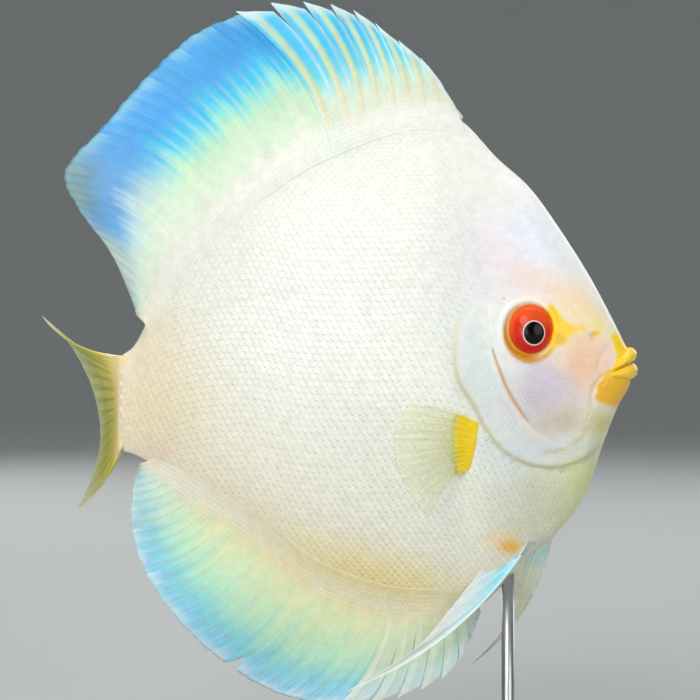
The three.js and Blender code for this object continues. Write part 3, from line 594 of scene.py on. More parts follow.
def median_fin(node, keys, count, edge, wave, keep, colour):
    """A fin on the back or belly: a thin sheet that thickens into the flesh at its root."""
    spiny = node.endswith("spiny")
    up, seed = (1, 21) if edge is back_line else (-1, 22)
    u = np.linspace(0, 1, count * (SPINE_COLUMNS if spiny else RAY_COLUMNS) + 1)
    phase = (u * count) % 1.0
    if spiny:
        phase[-1] = 1.0
    key = between(keys, u)
    root_z = edge(key[:, 0])
    length = np.hypot(key[:, 1] - key[:, 0], key[:, 2] - root_z)[:, None]
    share = np.linspace(0, 1, FIN_ROWS) ** 1.15
    inside = -ROOT_DEPTH / length
    v = inside + (keep(u, phase)[:, None] - inside) * share
    x, z = on_ray(key[:, 0], root_z, key[:, 1], key[:, 2], key[:, 3], v)
    out = np.maximum(0, v)
    reach = out * length
    if spiny:
        ridge = gauss(phase[:, None] - 0.62, 0.09 * (1 - 0.5 * out)) * 1.25 * (1 - 0.4 * out)
    else:
        ridge = branches(phase, out, 0.13) * (1 - 0.35 * out)
    # the root leaves the flesh along its own slope and thins out from there
    along = (v - inside) * length
    start = flank(x[:, 0], z[:, 0])
    near = np.argmin(np.abs(along - 0.8), axis=1)
    columns = np.arange(len(u))
    slope = (start - flank(x[columns, near], z[columns, near])) / along[columns, near]
    start = start - SKIN_DEPTH * 0.86
    fall = np.clip((start - FIN_EDGE) / np.maximum(slope, 0.05), 2.5, 8)
    half = FIN_EDGE + (start[:, None] - FIN_EDGE) * np.exp(-along / fall[:, None])
    half += (0.12 if spiny else 0.07) * ridge * smooth(0.06, 0.3, out)
    half = half * mix(1, 0.55, smooth(0.9, 1, share)[None, :])
    y = bend(key[:, 0])[:, None] + wave(u[:, None], out)
    y += (0.12 if spiny else 0.05) * np.sin(phase * TURN)[:, None] * smooth(0.15, 0.8, out)
    centre = np.stack([x, y, z], -1)
    tone, clear = colour(u[:, None] + 0 * v, out, reach, (1 - out) * length, ridge, phase[:, None] + 0 * v)
    body = skin_colour(x, up * np.minimum(up * z, up * edge(x) - 0.3))
    tone = mix(body, tone, smooth(-0.5, 5, reach)[..., None]) * (1 + 0.03 * ripple(x, z, 4, seed))[..., None]
    tone, clear = np.clip(tone, 0, 1), np.clip(clear, 0, 1)
    fin_sheets[node] = (centre, half, along, tone)
    slot = next(s["material_slot"] for s in frame["record"]["subparts"] if s["node"] == node)
    add_sheet(node + "_part", centre, half, node, slot, tone, clear)


def soft_wave(amount):
    return lambda u, v: amount * v * v * np.sin(u * 7.5 - 0.6) * (1 - 0.3 * u)


def spiny_wave(amount):
    return lambda u, v: amount * v * v * math.sin(-0.6) * u


def lobes(depth_at, count):
    """Share of each ray kept, with a slit behind every spine."""
    def keep(u, phase):
        start = np.floor(np.clip(u * count, 0, count - 1e-6)) / count
        depth = depth_at(start) * (start > 0) + 0.3 * (start == 0)
        rise = smooth(0.0, 0.1, phase) * 0.86 + smooth(0.05, 0.66, phase) * 0.14
        shape = 1 - depth * (1 - rise)
        tail = 0.03 * smooth(0.6, 0.95, phase)
        return shape + tail - depth_at(u) * smooth(0.96, 1.0, phase) * (u < 1)
    return keep


def soft_margin(u, phase):
    return 1 - 0.007 * (1 - smooth(0, 0.5, np.minimum(phase, 1 - phase) * 1.6)) + 0.003 * np.sin(u * 90)


def torn_margin(u, phase):
    return soft_margin(u, phase) - 0.15 * gauss(u - 0.285, 0.01)


# Colour and opacity of the median fins, where reach and left are mm from the root and to the margin

def spiny_dorsal(u, v, reach, left, ridge, phase):
    membrane = ramp(reach, [(0, (236, 238, 220)), (5, (226, 236, 210)), (10, (206, 234, 216)),
                            (16, (110, 216, 232)), (24, (60, 200, 244)), (40, (84, 206, 246))])
    spine = ramp(reach, [(0, (238, 230, 204)), (10, (230, 224, 176)), (20, (222, 226, 170)),
                         (34, (196, 226, 196)), (42, (220, 242, 236))])
    band = smooth(0.4, 0.56, phase) * smooth(0.84, 0.7, phase)
    tone = mix(membrane, spine, (band * 0.85)[..., None])
    # painted highlight: a whitish line at the front of each membrane, just behind a spine
    tone = stain(tone, (236, 250, 252), 0.5 * smooth(0.16, 0.04, phase) * smooth(6, 14, reach))
    tone = stain(tone, (226, 248, 253), 0.75 * smooth(4, 0.4, left))
    return tone, 0.98 - 0.08 * smooth(6, 0, left)


def soft_dorsal(u, v, reach, left, ridge, phase):
    number = np.floor(u * 31)
    jag = v + 0.035 * np.sin(number * 2.3) + 0.025 * np.sin(number * 5.1 + 1)
    tone = ramp(jag, [(0, (238, 240, 224)), (0.12, (222, 236, 212)), (0.34, (194, 232, 196)),
                      (0.46, (130, 224, 222)), (0.56, (0, 196, 236)), (0.74, (0, 160, 232)),
                      (0.92, (24, 166, 232)), (1.0, (120, 200, 232))])
    strokes = ramp(v, [(0, (236, 236, 214)), (0.4, (216, 236, 202)), (0.56, (170, 224, 224)),
                       (0.72, (20, 136, 212)), (1, (50, 140, 196))])
    pale = ramp(jag, [(0, (238, 238, 222)), (0.3, (216, 236, 212)), (0.48, (188, 222, 228)),
                      (0.66, (100, 172, 228)), (0.88, (88, 162, 214)), (1, (130, 180, 190))])
    pale_strokes = ramp(v, [(0, (236, 236, 216)), (0.4, (206, 226, 210)), (0.62, (96, 146, 202)),
                            (1, (112, 150, 176))])
    rear = smooth(0.4, 0.58, u)[..., None]
    tone = mix(tone, pale, rear)
    strokes = mix(strokes, pale_strokes, rear)
    tone = mix(tone, strokes, (0.6 * ridge * smooth(0.05, 0.3, v))[..., None])
    corner = smooth(0.5, 0.6, u) * smooth(0.74, 0.66, u) * smooth(0.72, 0.9, v)
    tone = stain(tone, (146, 184, 172), 0.6 * corner)
    last = smooth(0.72, 0.86, u)
    tone = stain(tone, (222, 234, 206), 0.7 * last)
    clear = 0.98 - 0.4 * np.maximum(corner, 0.6 * last * smooth(0.3, 1, v)) * (1 - 0.6 * ridge)
    return tone, clear - 0.06 * smooth(0.9, 1, v)


def spiny_anal(u, v, reach, left, ridge, phase):
    tone = ramp(v, [(0, (255, 238, 186)), (0.25, (226, 238, 198)), (0.6, (210, 234, 212)),
                    (0.85, (206, 238, 238)), (1, (240, 252, 252))])
    tone = stain(tone, (236, 242, 222), 0.5 * smooth(0.3, 0.6, phase) * smooth(1.0, 0.7, phase))
    tone = stain(tone, (130, 212, 238), 0.6 * smooth(0.16, 0.04, u))
    return tone, 0.98 - 0.1 * smooth(5, 0, left)


def soft_anal(u, v, reach, left, ridge, phase):
    number = np.floor(u * 29)
    jag = v + 0.03 * np.sin(number * 2.9) + 0.02 * np.sin(number * 4.3 + 2)
    tone = ramp(jag, [(0, (255, 238, 182)), (0.14, (236, 240, 190)), (0.4, (206, 236, 198)),
                      (0.6, (178, 230, 206)), (0.76, (136, 214, 222)), (0.9, (130, 206, 234)),
                      (1, (196, 232, 246))])
    strokes = ramp(v, [(0, (246, 232, 196)), (0.5, (226, 240, 210)), (0.8, (190, 230, 240)),
                       (1, (226, 242, 248))])
    tone = mix(tone, strokes, (0.5 * ridge * smooth(0.05, 0.3, v))[..., None])
    rear = smooth(0.6, 0.9, u)
    tone = stain(tone, (206, 224, 214), 0.6 * rear)
    tone = stain(tone, (150, 172, 160), 0.3 * rear * ridge * smooth(0.5, 0.9, v))
    return tone, 0.98 - 0.2 * rear * smooth(0.3, 1, v) * (1 - 0.6 * ridge) - 0.06 * smooth(0.9, 1, v)


median_fin("dorsal_fin_spiny", DORSAL_SPINES, 9, back_line, spiny_wave(2.2),
           lobes(lambda s: mix(0.07, 0.3, smooth(0.3, 0.7, s)), 9), spiny_dorsal)
median_fin("dorsal_fin_soft", DORSAL_SOFT, 31, back_line, soft_wave(2.2), soft_margin, soft_dorsal)
median_fin("anal_fin_spiny", ANAL_SPINES, 7, belly_line, spiny_wave(1.8), lobes(lambda s: 0.3 + 0 * s, 7),
           spiny_anal)
median_fin("anal_fin_soft", ANAL_SOFT, 29, belly_line, soft_wave(1.8), torn_margin, soft_anal)

# The caudal fin, swept to the fish's left. A fan's key ray has its root z too, and how far it leans aside.

STALK_TOP, STALK_BOTTOM = float(back_line(STALK_X)), float(belly_line(STALK_X))


def on_stalk(share):
    return mix(STALK_TOP, STALK_BOTTOM, share)


CAUDAL = [
    (STALK_X, STALK_TOP - 0.2, -94, 10.4, -0.1, 13.5), (STALK_X, on_stalk(0.14), -87.6, 4, -0.04, 15.5),
    (STALK_X, on_stalk(0.3), -82, -6, 0, 17), (STALK_X, on_stalk(0.5), -79, -15.6, 0, 17.5),
    (STALK_X, on_stalk(0.7), -78.2, -25, 0, 17), (STALK_X, on_stalk(0.86), -80, -34.4, 0.03, 15.5),
    (STALK_X, STALK_BOTTOM + 0.2, -83.7, -43.5, 0.06, 13.5)]


def fan(keys, rays, per_ray, rows, start, width, margin):
    """A fan of forking rays as a grid: place across, keys, share along, x, z, share out, ridge."""
    u = np.linspace(0, 1, rays * per_ray + 1)
    phase = (u * rays) % 1.0
    v = start + (margin(u, phase)[:, None] - start) * np.linspace(0, 1, rows) ** 1.1
    key = between(keys, u)
    x, z = on_ray(*key[:, :5].T, v)
    out = np.maximum(0, v)
    return u[:, None], key, v, x, z, out, branches(phase, out, width) * (1 - 0.3 * out)


u, key, v, x, z, out, ridge = fan(CAUDAL, 14, 20, 60, -0.22, 0.12, soft_margin)
y = float(bend(STALK_X)) + out ** 1.35 * key[:, 5:6] + 2 * v
half = FIN_EDGE + 1.5 * np.exp(-out * 7) + 0.22 * ridge * smooth(0, 0.2, out)
half *= mix(0.45, 1, smooth(-0.22, 0.02, v)) * mix(1, 0.5, smooth(0.92, 1, v))
tone = ramp(out,
            [(0, (242, 220, 172)), (0.12, (232, 214, 130)), (0.28, (208, 200, 66)), (0.6, (194, 196, 56)),
                  (1, (222, 228, 160))])
strokes = ramp(out,
               [(0, (226, 204, 146)), (0.2, (160, 150, 50)), (0.5, (116, 114, 36)), (0.85, (140, 142, 66)),
                     (1, (206, 212, 160))])
tone = mix(tone, strokes, (0.75 * ridge * smooth(0.08, 0.25, out))[..., None])
ends = np.maximum(smooth(0.14, 0.0, u), smooth(0.86, 1.0, u))
tone = stain(tone, (226, 226, 196), 0.6 * ends * smooth(0.3, 1, out))
add_sheet("tail_fin", np.stack([x, y, z], -1), half, "caudal_fin", "fin_yellow", tone,
          0.98 - 0.32 * smooth(0.2, 0.7, out) * (1 - 0.75 * ridge))

SIDES = (("right", -1), ("left", 1))

# The pectoral fins

PECTORAL = [
    (28.7, -17, 12.5, -11.9, 0.06, 1), (28.4, -19.5, 9.8, -16.6, 0.04, 1.12),
    (28.1, -22.4, 8.6, -22.4, 0.02, 1.2), (27.6, -25, 9.6, -28.6, -0.02, 1.14),
    (27, -27.4, 12.6, -35.4, -0.05, 1), (26.4, -29.4, 17.3, -41.5, -0.08, 0.84)]
for name, way in SIDES:
    u, key, v, x, z, out, ridge = fan(PECTORAL, 12, 18, 56, -0.12, 0.1, soft_margin)
    root_y = flank(key[:, 0], key[:, 1])[:, None] - 0.6
    y = way * (root_y + 14 * key[:, 5:6] * v * (1 - 0.18 * v))
    half = 0.1 + 0.95 * np.exp(-out * 9) + 0.16 * ridge * smooth(0, 0.15, out)
    half *= mix(1, 0.5, smooth(0.92, 1, v))
    tone = ramp(out,
                [(0, (236, 228, 110)), (0.3, (226, 230, 130)), (0.6, (228, 232, 168)), (1, (236, 240, 204))])
    strokes = ramp(out,
                   [(0, (240, 222, 60)), (0.3, (222, 218, 80)), (0.6, (214, 216, 120)), (1, (228, 230, 180))])
    tone = mix(tone, strokes, (0.7 * ridge)[..., None])
    bar = 0.25 - 0.12 * u
    tone = stain(tone, (255, 218, 0), smooth(bar + 0.04, bar - 0.02, out))
    clear = 0.98 - 0.87 * smooth(bar, bar + 0.1, out) * (1 - 0.42 * ridge)
    add_sheet("pectoral_" + name, np.stack([x, y, z], -1), half, "pectoral_fin_" + name, "fin_yellow", tone,
              clear)

# The pelvic fins

PELVIC = {
    "right": [
        (43.6, -48.6, -5.6, -88.9, 0.085, 10), (42.6, -49.8, 0.5, -85.6, 0.07, 9.6),
        (41.2, -51.8, 13.4, -76.9, 0.05, 9), (40.6, -52.4, 22.5, -66.3, 0.03, 8),
        (40, -52.8, 27.4, -60, 0, 7.2), (39.4, -53.2, 31.1, -55.4, -0.02, 6.6)],
    "left": [
        (49, -46.6, 25.7, -86.8, 0.1, 28), (47.6, -47.6, 27, -85.6, 0.08, 27),
        (46.2, -48.6, 31.6, -80.9, 0.05, 23), (44.8, -49.6, 36.2, -73.4, 0.02, 17),
        (43.4, -50.4, 38.2, -65.8, 0, 12), (42, -51.2, 38, -59.4, -0.02, 8)]}
PELVIC_TONES = {
    "right": ([(0, (240, 250, 240)), (0.1, (206, 246, 250)), (0.3, (150, 228, 248)), (0.55, (206, 244, 250)),
               (1, (252, 254, 250))], (252, 252, 238)),
    "left": ([(0, (236, 252, 238)), (0.14, (206, 242, 240)), (0.3, (232, 250, 222)), (0.7, (244, 250, 222)),
              (1, (250, 250, 232))], (250, 254, 246))}
for name, way in SIDES:
    u, key, v, x, z, out, ridge = fan(PELVIC[name], 6, 26, 90, -0.07, 0.12, lambda u, phase: 1 + 0 * u)
    root_y = np.maximum(2.6, flank(key[:, 0], key[:, 1]) - 0.4)[:, None]
    y = way * np.where(v > 0, root_y + (key[:, 5:6] - root_y) * out ** 1.1, root_y + v * 10)
    lead = smooth(0.12, 0.0, u)
    half = 0.14 + 0.8 * np.exp(-out * 14) + 0.16 * ridge * smooth(0, 0.1, out) + 0.3 * lead
    half *= 1 - 0.55 * out
    stops, leading = PELVIC_TONES[name]
    tone = stain(ramp(out, stops), leading, 0.8 * smooth(0.3, 0, u) * smooth(0.1, 0.4, out))
    tone = stain(tone, (246, 250, 236), 0.35 * ridge)
    tone = stain(tone, (130, 206, 240), 0.75 * smooth(0.6, 0.9, u) * smooth(0.5, 0.1, out))
    clear = 1.0 - 0.06 * smooth(0.6, 0.95, out) * (1 - ridge)
    add_sheet("pelvic_" + name, np.stack([x, y, z], -1), half, "pelvic_fin_" + name, "fin_blue", tone, clear)

# Lips: rolls round the front of the snout

MOUTH = {"corner_x": 62.3, "corner_z": -4.9, "front_x": 69.2, "front_z": -1.7, "half_width": 5.5}
LIP_RINGS, LIP_AROUND = 72, 28


def lip(name, above, radius, node):
    turn = np.linspace(-math.pi / 2, math.pi / 2, LIP_RINGS)[:, None]
    share = np.cos(turn)
    reach = mix(MOUTH["corner_x"], MOUTH["front_x"], share ** 0.8)
    thick = mix(0.35, radius, share ** 1.1)
    y = MOUTH["half_width"] * np.sin(turn) * mix(1.04, 1, share)
    z = mix(MOUTH["corner_z"], MOUTH["front_z"], share) + above * (thick * 1.12 + 0.04)
    outward = unit(np.concatenate([share, np.sin(turn) * 0.9], 1))
    a = np.arange(LIP_AROUND) / LIP_AROUND * TURN
    crease = 1 - 0.06 * gauss(np.sin(a - above * 0.9), 0.25) * (np.cos(a - above * 0.9) > 0)
    plump = thick * crease * (1 + 0.012 * np.sin(turn * 17))
    c, s = np.cos(a) * plump, np.sin(a) * 1.12 * plump
    verts, faces = capped(np.stack([reach + outward[:, :1] * c, y + outward[:, 1:] * c, z + s], -1))
    tone = stain(linear((254, 208, 14)), (254, 218, 80), 0.5 * smooth(66, 70, verts[:, 0]))
    seam = mix(MOUTH["corner_z"], MOUTH["front_z"], smooth(62, 70, verts[:, 0]))
    tone = stain(tone, (206, 134, 4), 0.7 * smooth(0.5, 0.0, (verts[:, 2] - seam) * above))
    add_mesh(name, verts, faces, lip_material, (node,), "lip", tone)


lip("upper_lip", 1, 1.75, "lip_upper")
lip("lower_lip", -1, 2.0, "lip_lower")

# Eyes: flattened balls with the iris and pupil in rings about their own axis

IRIS = [
    (0.0, (3, 3, 4)), (2.92, (4, 4, 5)), (3.02, (248, 206, 196)), (3.22, (248, 200, 188)),
    (3.36, (206, 60, 44)), (4.0, (210, 36, 28)), (5.2, (226, 46, 22)), (5.9, (236, 84, 34)),
    (6.3, (230, 92, 34)), (6.6, (222, 120, 40)), (6.9, (214, 160, 50)), (7.3, (180, 130, 40))]
PUPIL_SHIFT = (0.2, -0.8)
EYE_AROUND = 144
eye_y = float(flank(EYE["x"], EYE["z"])) + EYE["bulge"] - EYE["depth"]
for name, way in SIDES:
    radii = np.concatenate([np.linspace(0.05, 2.92, 14), [3.02, 3.22, 3.36], np.linspace(3.55, 7.0, 30),
                            np.linspace(7.05, 7.3, 8)])[:, None]
    a = np.arange(EYE_AROUND) / EYE_AROUND * TURN
    lens = way * EYE["depth"] * np.sqrt(np.maximum(0, 1 - (radii / EYE["radius"]) ** 2)) + 0 * a
    shift = smooth(6.8, 3.0, radii)
    px = (radii * np.cos(a) + shift * PUPIL_SHIFT[0]) * EYE["narrow"]
    pz = radii * np.sin(a) + shift * PUPIL_SHIFT[1]
    turn = -way * EYE["turn"]
    c, s = math.cos(turn), math.sin(turn)
    p = np.stack([px * c - lens * s, px * s + lens * c, pz], -1) + (EYE["x"], way * eye_y, EYE["z"])
    colour = ramp(radii + 0 * a, IRIS)
    streak = (0.5 + 0.5 * np.sin(a * 37 + 2 * np.sin(a * 5))) * 0.5 + 0.5 * rng.uniform(0, 1, EYE_AROUND)
    body = smooth(3.4, 3.8, radii) * smooth(7.0, 6.4, radii)
    up = np.sin(a + 0.3)
    colour = stain(colour, (242, 98, 30), body * 0.55 * smooth(0.1, 0.9, up))
    colour = stain(colour, (200, 16, 40), body * 0.55 * smooth(-0.2, -0.9, up))
    colour = stain(colour, (250, 130, 70), body * 0.08 * streak)
    colour = stain(colour, (120, 16, 10), body * 0.12 * (1 - streak) * smooth(5.5, 3.6, radii))
    verts, faces = capped(p)
    tints = np.concatenate([colour.reshape(-1, 3), [linear((4, 4, 6)), linear((60, 30, 24))]])
    add_mesh("eye_" + name + "_ball", verts, faces, eye_material, ("eye_" + name,), "eye", tints)

# Scales. The flank is charted by x and by s, the distance round the section from its widest level.

chart_x = np.linspace(STALK_X, 68, 280)
levels = np.sin(np.linspace(-math.pi / 2, math.pi / 2, 500))
level_z = heights(chart_x, levels)
level_y = flank(np.repeat(chart_x[:, None], len(levels), 1), level_z)
steps = np.hypot(np.diff(level_z, axis=1), np.diff(level_y, axis=1))
length = np.concatenate([np.zeros((len(chart_x), 1)), np.cumsum(steps, axis=1)], 1)
length -= np.array([np.interp(0, levels, row) for row in length])[:, None]
S_STEP = 0.4
s_grid = np.arange(-90, 90, S_STEP)
z_chart = np.array([np.interp(s_grid, length[i], level_z[i]) for i in range(len(chart_x))])
s_low, s_high = length[:, 0], length[:, -1]


def in_grid(grid, row, column):
    """A grid's value at a place between its rows and columns."""
    i = np.clip(row.astype(int), 0, grid.shape[0] - 2)
    j = np.clip(column.astype(int), 0, grid.shape[1] - 2)
    f, g = row - i, column - j
    if grid.ndim == 3:
        f, g = f[..., None], g[..., None]
    return ((1 - f) * (1 - g) * grid[i, j] + f * (1 - g) * grid[i + 1, j]
            + (1 - f) * g * grid[i, j + 1] + f * g * grid[i + 1, j + 1])


def chart(x, s):
    """Height z on the flank at a place in the chart."""
    return in_grid(z_chart, np.clip((x - chart_x[0]) / (chart_x[1] - chart_x[0]), 0, len(chart_x) - 1.001),
                   np.clip((s - s_grid[0]) / S_STEP, 0, len(s_grid) - 1.001))


def place(x, s, height):
    """A point of the left half at that height over the skin."""
    z = chart(x, s)
    e = 0.25
    slope_x = (surface(x + e, chart(x + e, s)) - surface(x - e, chart(x - e, s))) / (2 * e)
    zs = (chart(x, s + e) - chart(x, s - e)) / (2 * e)
    ys = (surface(x, chart(x, s + e)) - surface(x, chart(x, s - e))) / (2 * e)
    along = np.stack([np.ones_like(x), slope_x, np.zeros_like(x)], -1)
    normal = unit(np.cross(np.stack([np.zeros_like(x), ys, zs], -1), along))
    normal *= np.sign(normal[..., 1:2] + 1e-9)
    return np.stack([x, surface(x, z), z], -1) + normal * np.asarray(height)[..., None]


# One scale, in rows from its buried front to its rounded rear edge: place as a share of its size, half its
# width as a share too, height in mm, how far forward its sides lie, and how much of the rim's tone it takes
SCALE_ROWS = np.array([
    (0.55, 0.40, -0.04, 0, 0), (0.1, 0.56, 0.0, 0, 0), (-0.35, 0.52, 0.01, 0.04, 0.2),
    (-0.6, 0.38, 0.011, 0.1, 0.8), (-0.74, 0.16, 0.003, 0.12, 1)])
SCALE_COLUMNS = np.linspace(-1, 1, 5)
SCALE_DEPTH = 0.12
RIM_TINT = np.array([0.988, 0.982, 0.96])
BAKE_SIZE = 0.0024


def scales(name, put, paint, unwrap, x, s, size, width, rise_by, way):
    """A joined mesh of overlapping scales at the places x, s of a chart. put gives a point of the chart at a
    height over it, paint its colour and unwrap its place on the unwrap."""
    n = len(x)
    rows, columns = len(SCALE_ROWS), len(SCALE_COLUMNS)
    m = rows * columns
    share, half, rise, lag, rim_tone = SCALE_ROWS.T[..., None]
    px = x[:, None, None] + (share + lag * SCALE_COLUMNS ** 2) * size[:, None, None]
    ps = s[:, None, None] + half * SCALE_COLUMNS * width[:, None, None]
    rise_by = rise_by[:, None, None]
    high = ((rise - 0.012 * SCALE_COLUMNS ** 2) * rise_by - 0.018 * (1 - rise_by)).reshape(n, -1)
    at = px.reshape(n, -1), ps.reshape(n, -1)
    verts = np.concatenate([put(*at, high, way), put(*at, high - SCALE_DEPTH, way)], 1).reshape(-1, 3)
    one, top = slab_faces(rows, columns)
    faces = (one[None] + (np.arange(n) * 2 * m)[:, None, None]).reshape(-1, 4)
    flat = np.tile(np.arange(len(one)) >= top, n)
    tone = 0.5 * paint(px, ps).reshape(n, m, 3) + 0.5 * paint(x, s)[:, None, :]
    margin = np.repeat(rim_tone, columns)[None, :, None]
    jitter = (1 + 0.006 * rng.standard_normal(n))[:, None, None]
    tone = mix(tone, tone * RIM_TINT, margin * rise_by) * jitter
    local = np.stack([px - x[:, None, None], ps - s[:, None, None]], -1) / size[:, None, None, None]
    uv = (unwrap(x, s, way)[:, None, None, :] + local * BAKE_SIZE).reshape(n, m, 2)
    tone, uv = (np.concatenate([part, part], 1).reshape(-1, part.shape[-1]) for part in (tone, uv))
    return add_mesh(name, verts, faces, scale_material, (), "skin", np.clip(tone, 0, 1), bake=uv, flat=flat)


def on_body(x, s, height, way):
    points = place(x, s, height)
    points[..., 1] = way * points[..., 1] + bend(points[..., 0])
    return points


def body_paint(x, s):
    return skin_colour(x, chart(x, s))


def body_unwrap(x, s, way):
    return np.stack([(x + 75) / 400 + (0.4 if way > 0 else 0.0), (s + 90) / 180], -1)


def march(low, high, step):
    """Places from low to high, each a step on from the last. step gives the step at a place."""
    places = [low]
    while places[-1] < high:
        places.append(places[-1] + float(step(places[-1])))
    return np.array(places)


def sites(spacing, row, low, high, seed):
    """Staggered places on the chart between two x limits, with the spacing there both ways."""
    local = np.random.default_rng(seed)
    s = march(-88, 88, row)
    x = march(low, high, spacing)
    step_x, step_s = spacing(x), row(s)
    gx, gs = np.meshgrid(x, s)
    gx = gx + (np.arange(len(s)) % 2)[:, None] * step_x / 2
    gx = gx + local.normal(0, 0.03, gx.shape) * step_x
    gs = gs + local.normal(0, 0.025, gs.shape) * step_s[:, None]
    edge = np.minimum(np.interp(gx, chart_x, s_high) - gs, gs - np.interp(gx, chart_x, s_low))
    keep = edge > 0.8
    return gx[keep], gs[keep], edge[keep], (step_x + 0 * gs)[keep], (step_s[:, None] + 0 * gs)[keep]


def body_step(x):
    return mix(1.95, 1.3, smooth(24, 46, x)) * mix(1, 0.72, smooth(-44, -62, x))


def body_row(s):
    return mix(1.75, 1.2, smooth(26, 56, np.abs(s)))


for name, way in SIDES:
    x, s, edge, step, row = sites(body_step, body_row, -67.2, 63, 11)
    z = chart(x, s)
    d, front = distance(gill_margin, x, z)
    crown = (z > 15) & (x < 44)
    behind = (front < 0) & (d > 1.2) & ((z < 15) | (x < 44)) | crown
    fade = np.where(z > 10, smooth(44, 24, x + 0.2 * (z - 30)), smooth(64, 54, x)) * smooth(0.5, 2, edge)
    behind &= fade > 0.3
    x, s, fade, step, row, edge = x[behind], s[behind], fade[behind], step[behind], row[behind], edge[behind]
    small = mix(0.6, 1, smooth(0.6, 4, edge))
    cuts = np.quantile(x, [1 / 3, 2 / 3])
    third = np.searchsorted(cuts, x, side="right")
    for number, part in enumerate(("rear", "middle", "front")):
        chosen = third == number
        scales("scales_" + part + "_" + name, on_body, body_paint, body_unwrap, x[chosen], s[chosen],
               (1.2 * step * small)[chosen], (1.3 * row * small)[chosen], fade[chosen], way)
    x, s, edge, step, row = sites(lambda x: 1.15 + 0 * x, lambda s: 1.05 + 0 * s, 24, 60, 12)
    z = chart(x, s)
    d, front = distance(gill_margin, x, z)
    e, before = distance(cheek_edge, x, z)
    eye = np.hypot(x - EYE["x"], z - EYE["z"])
    cheek = np.hypot((x - 47) / 11, (z + 11) / 10.5)
    on_cheek = (cheek < 1) & (eye > 9.6) & (e > 1)
    on_cover = (before < 0) & (front > 0) & (d > 1.6) & (e > 1.3) & (z < 13) & (x < 58)
    chosen = (front > 0) & (on_cheek | on_cover)
    low = np.where(on_cover, 0.9, mix(0.75, 0.95, smooth(1, 0.7, cheek)))
    scales("scales_face_" + name, on_body, body_paint, body_unwrap, x[chosen], s[chosen],
           np.full(chosen.sum(), 1.4), np.full(chosen.sum(), 1.35), low[chosen], way)

# Small scales on the thick roots of the back and belly fins, with their free edges towards the margin


def sheath_scales(name, sheet, reach, spot):
    """Both sides' scales on a fin's root, out to a ragged limit. spot is their strip on the unwrap."""
    centre, half, along, tones = sheet
    normal = unit(np.cross(np.gradient(centre, axis=0), np.gradient(centre, axis=1)))
    normal *= np.sign(normal[..., 1:2] + 1e-12)
    run = np.concatenate([[0], np.cumsum(np.linalg.norm(np.diff(centre[:, 0], axis=0), axis=1))])
    levels = np.linspace(0, reach + 4, 60)
    at_levels = np.array([np.interp(levels, along[i], np.arange(along.shape[1])) for i in range(len(run))])

    def look(grid, a, b):
        ray = np.interp(a, run, np.arange(len(run)))
        return in_grid(grid, ray, in_grid(at_levels, ray, np.clip(b / levels[1], 0, len(levels) - 1.001)))

    def put(b, a, height, way):
        return look(centre, a, -b) + look(normal, a, -b) * way * (look(half, a, -b) + height)[..., None]

    def paint(b, a):
        return look(tones, a, -b)

    def unwrap(b, a, way):
        return np.stack([0.02 + a / 400 + (0.4 if way > 0 else 0.0), spot + 0.03 * (-b / 14)], -1)

    local = np.random.default_rng(5)
    step, row = 1.15, 1.05
    b = np.arange(0.5, reach, step)
    a = np.arange(0.9, run[-1] - 0.9, row)
    ga, gb = np.meshgrid(a, b)
    ga = ga + (np.arange(len(b)) % 2)[:, None] * row / 2 + local.normal(0, 0.04, ga.shape)
    ga = np.clip(ga, 0.8, run[-1] - 0.8)
    gb = gb + local.normal(0, 0.04, gb.shape)
    ga, gb = ga.ravel(), gb.ravel()
    ragged = reach + 1.5 * np.sin(ga * 0.9) + 1.2 * local.uniform(-1, 1, len(ga))
    keep = gb < ragged
    ga, gb, ragged = ga[keep], gb[keep], ragged[keep]
    strength = mix(0.5, 0.95, smooth(0, 7, ragged - gb))
    size = mix(0.6, 1, smooth(0, 8, ragged - gb))
    for side_name, way in SIDES:
        scales(name + "_" + side_name, put, paint, unwrap, -gb, ga, 1.4 * size, 1.35 * size, strength, way)


sheath_scales("scales_dorsal_front", fin_sheets["dorsal_fin_spiny"], 16, 0.93)
sheath_scales("scales_dorsal_rear", fin_sheets["dorsal_fin_soft"], 14, 0.96)
sheath_scales("scales_anal_front", fin_sheets["anal_fin_spiny"], 12, 0.03)
sheath_scales("scales_anal_rear", fin_sheets["anal_fin_soft"], 13, 0.0)


# The stand

def stretched_grain(tree, stretch, **values):
    place, mapping = add_node(tree, "TexCoord"), add_node(tree, "Mapping", Scale=stretch)
    grain = add_node(tree, "TexNoise", **values)
    wire(tree, (place, "Object", mapping, "Vector"), (mapping, "Vector", grain, "Vector"))
    return grain


wood_material, tree, shader = principled("oiled_wood", Roughness=0.38)
grain = stretched_grain(tree, (6, 90, 90), Scale=2.2, Detail=8, Distortion=0.6)
tone = add_node(tree, "ValToRGB")
for element, position, colour in zip(tone.color_ramp.elements, (0.3, 0.72),
                                     ((0.018, 0.009, 0.005, 1), (0.095, 0.048, 0.024, 1))):
    element.position = position
    element.color = colour
height = add_node(tree, "Bump", Strength=0.2, Distance=0.0003)
wire(tree, (grain, "Fac", tone, "Fac"), (tone, "Color", shader, "Base Color"),
     (grain, "Fac", height, "Height"),
     (height, "Normal", shader, "Normal"))

steel_material, tree, shader = principled("brushed_rod", Metallic=1.0, Base_Color=(0.55, 0.56, 0.58, 1))
grain = stretched_grain(tree, (3000, 3000, 60), Scale=1)
gloss = add_node(tree, "MapRange", To_Min=0.24, To_Max=0.42)
wire(tree, (grain, "Fac", gloss, "Value"), (gloss, "Result", shader, "Roughness"))

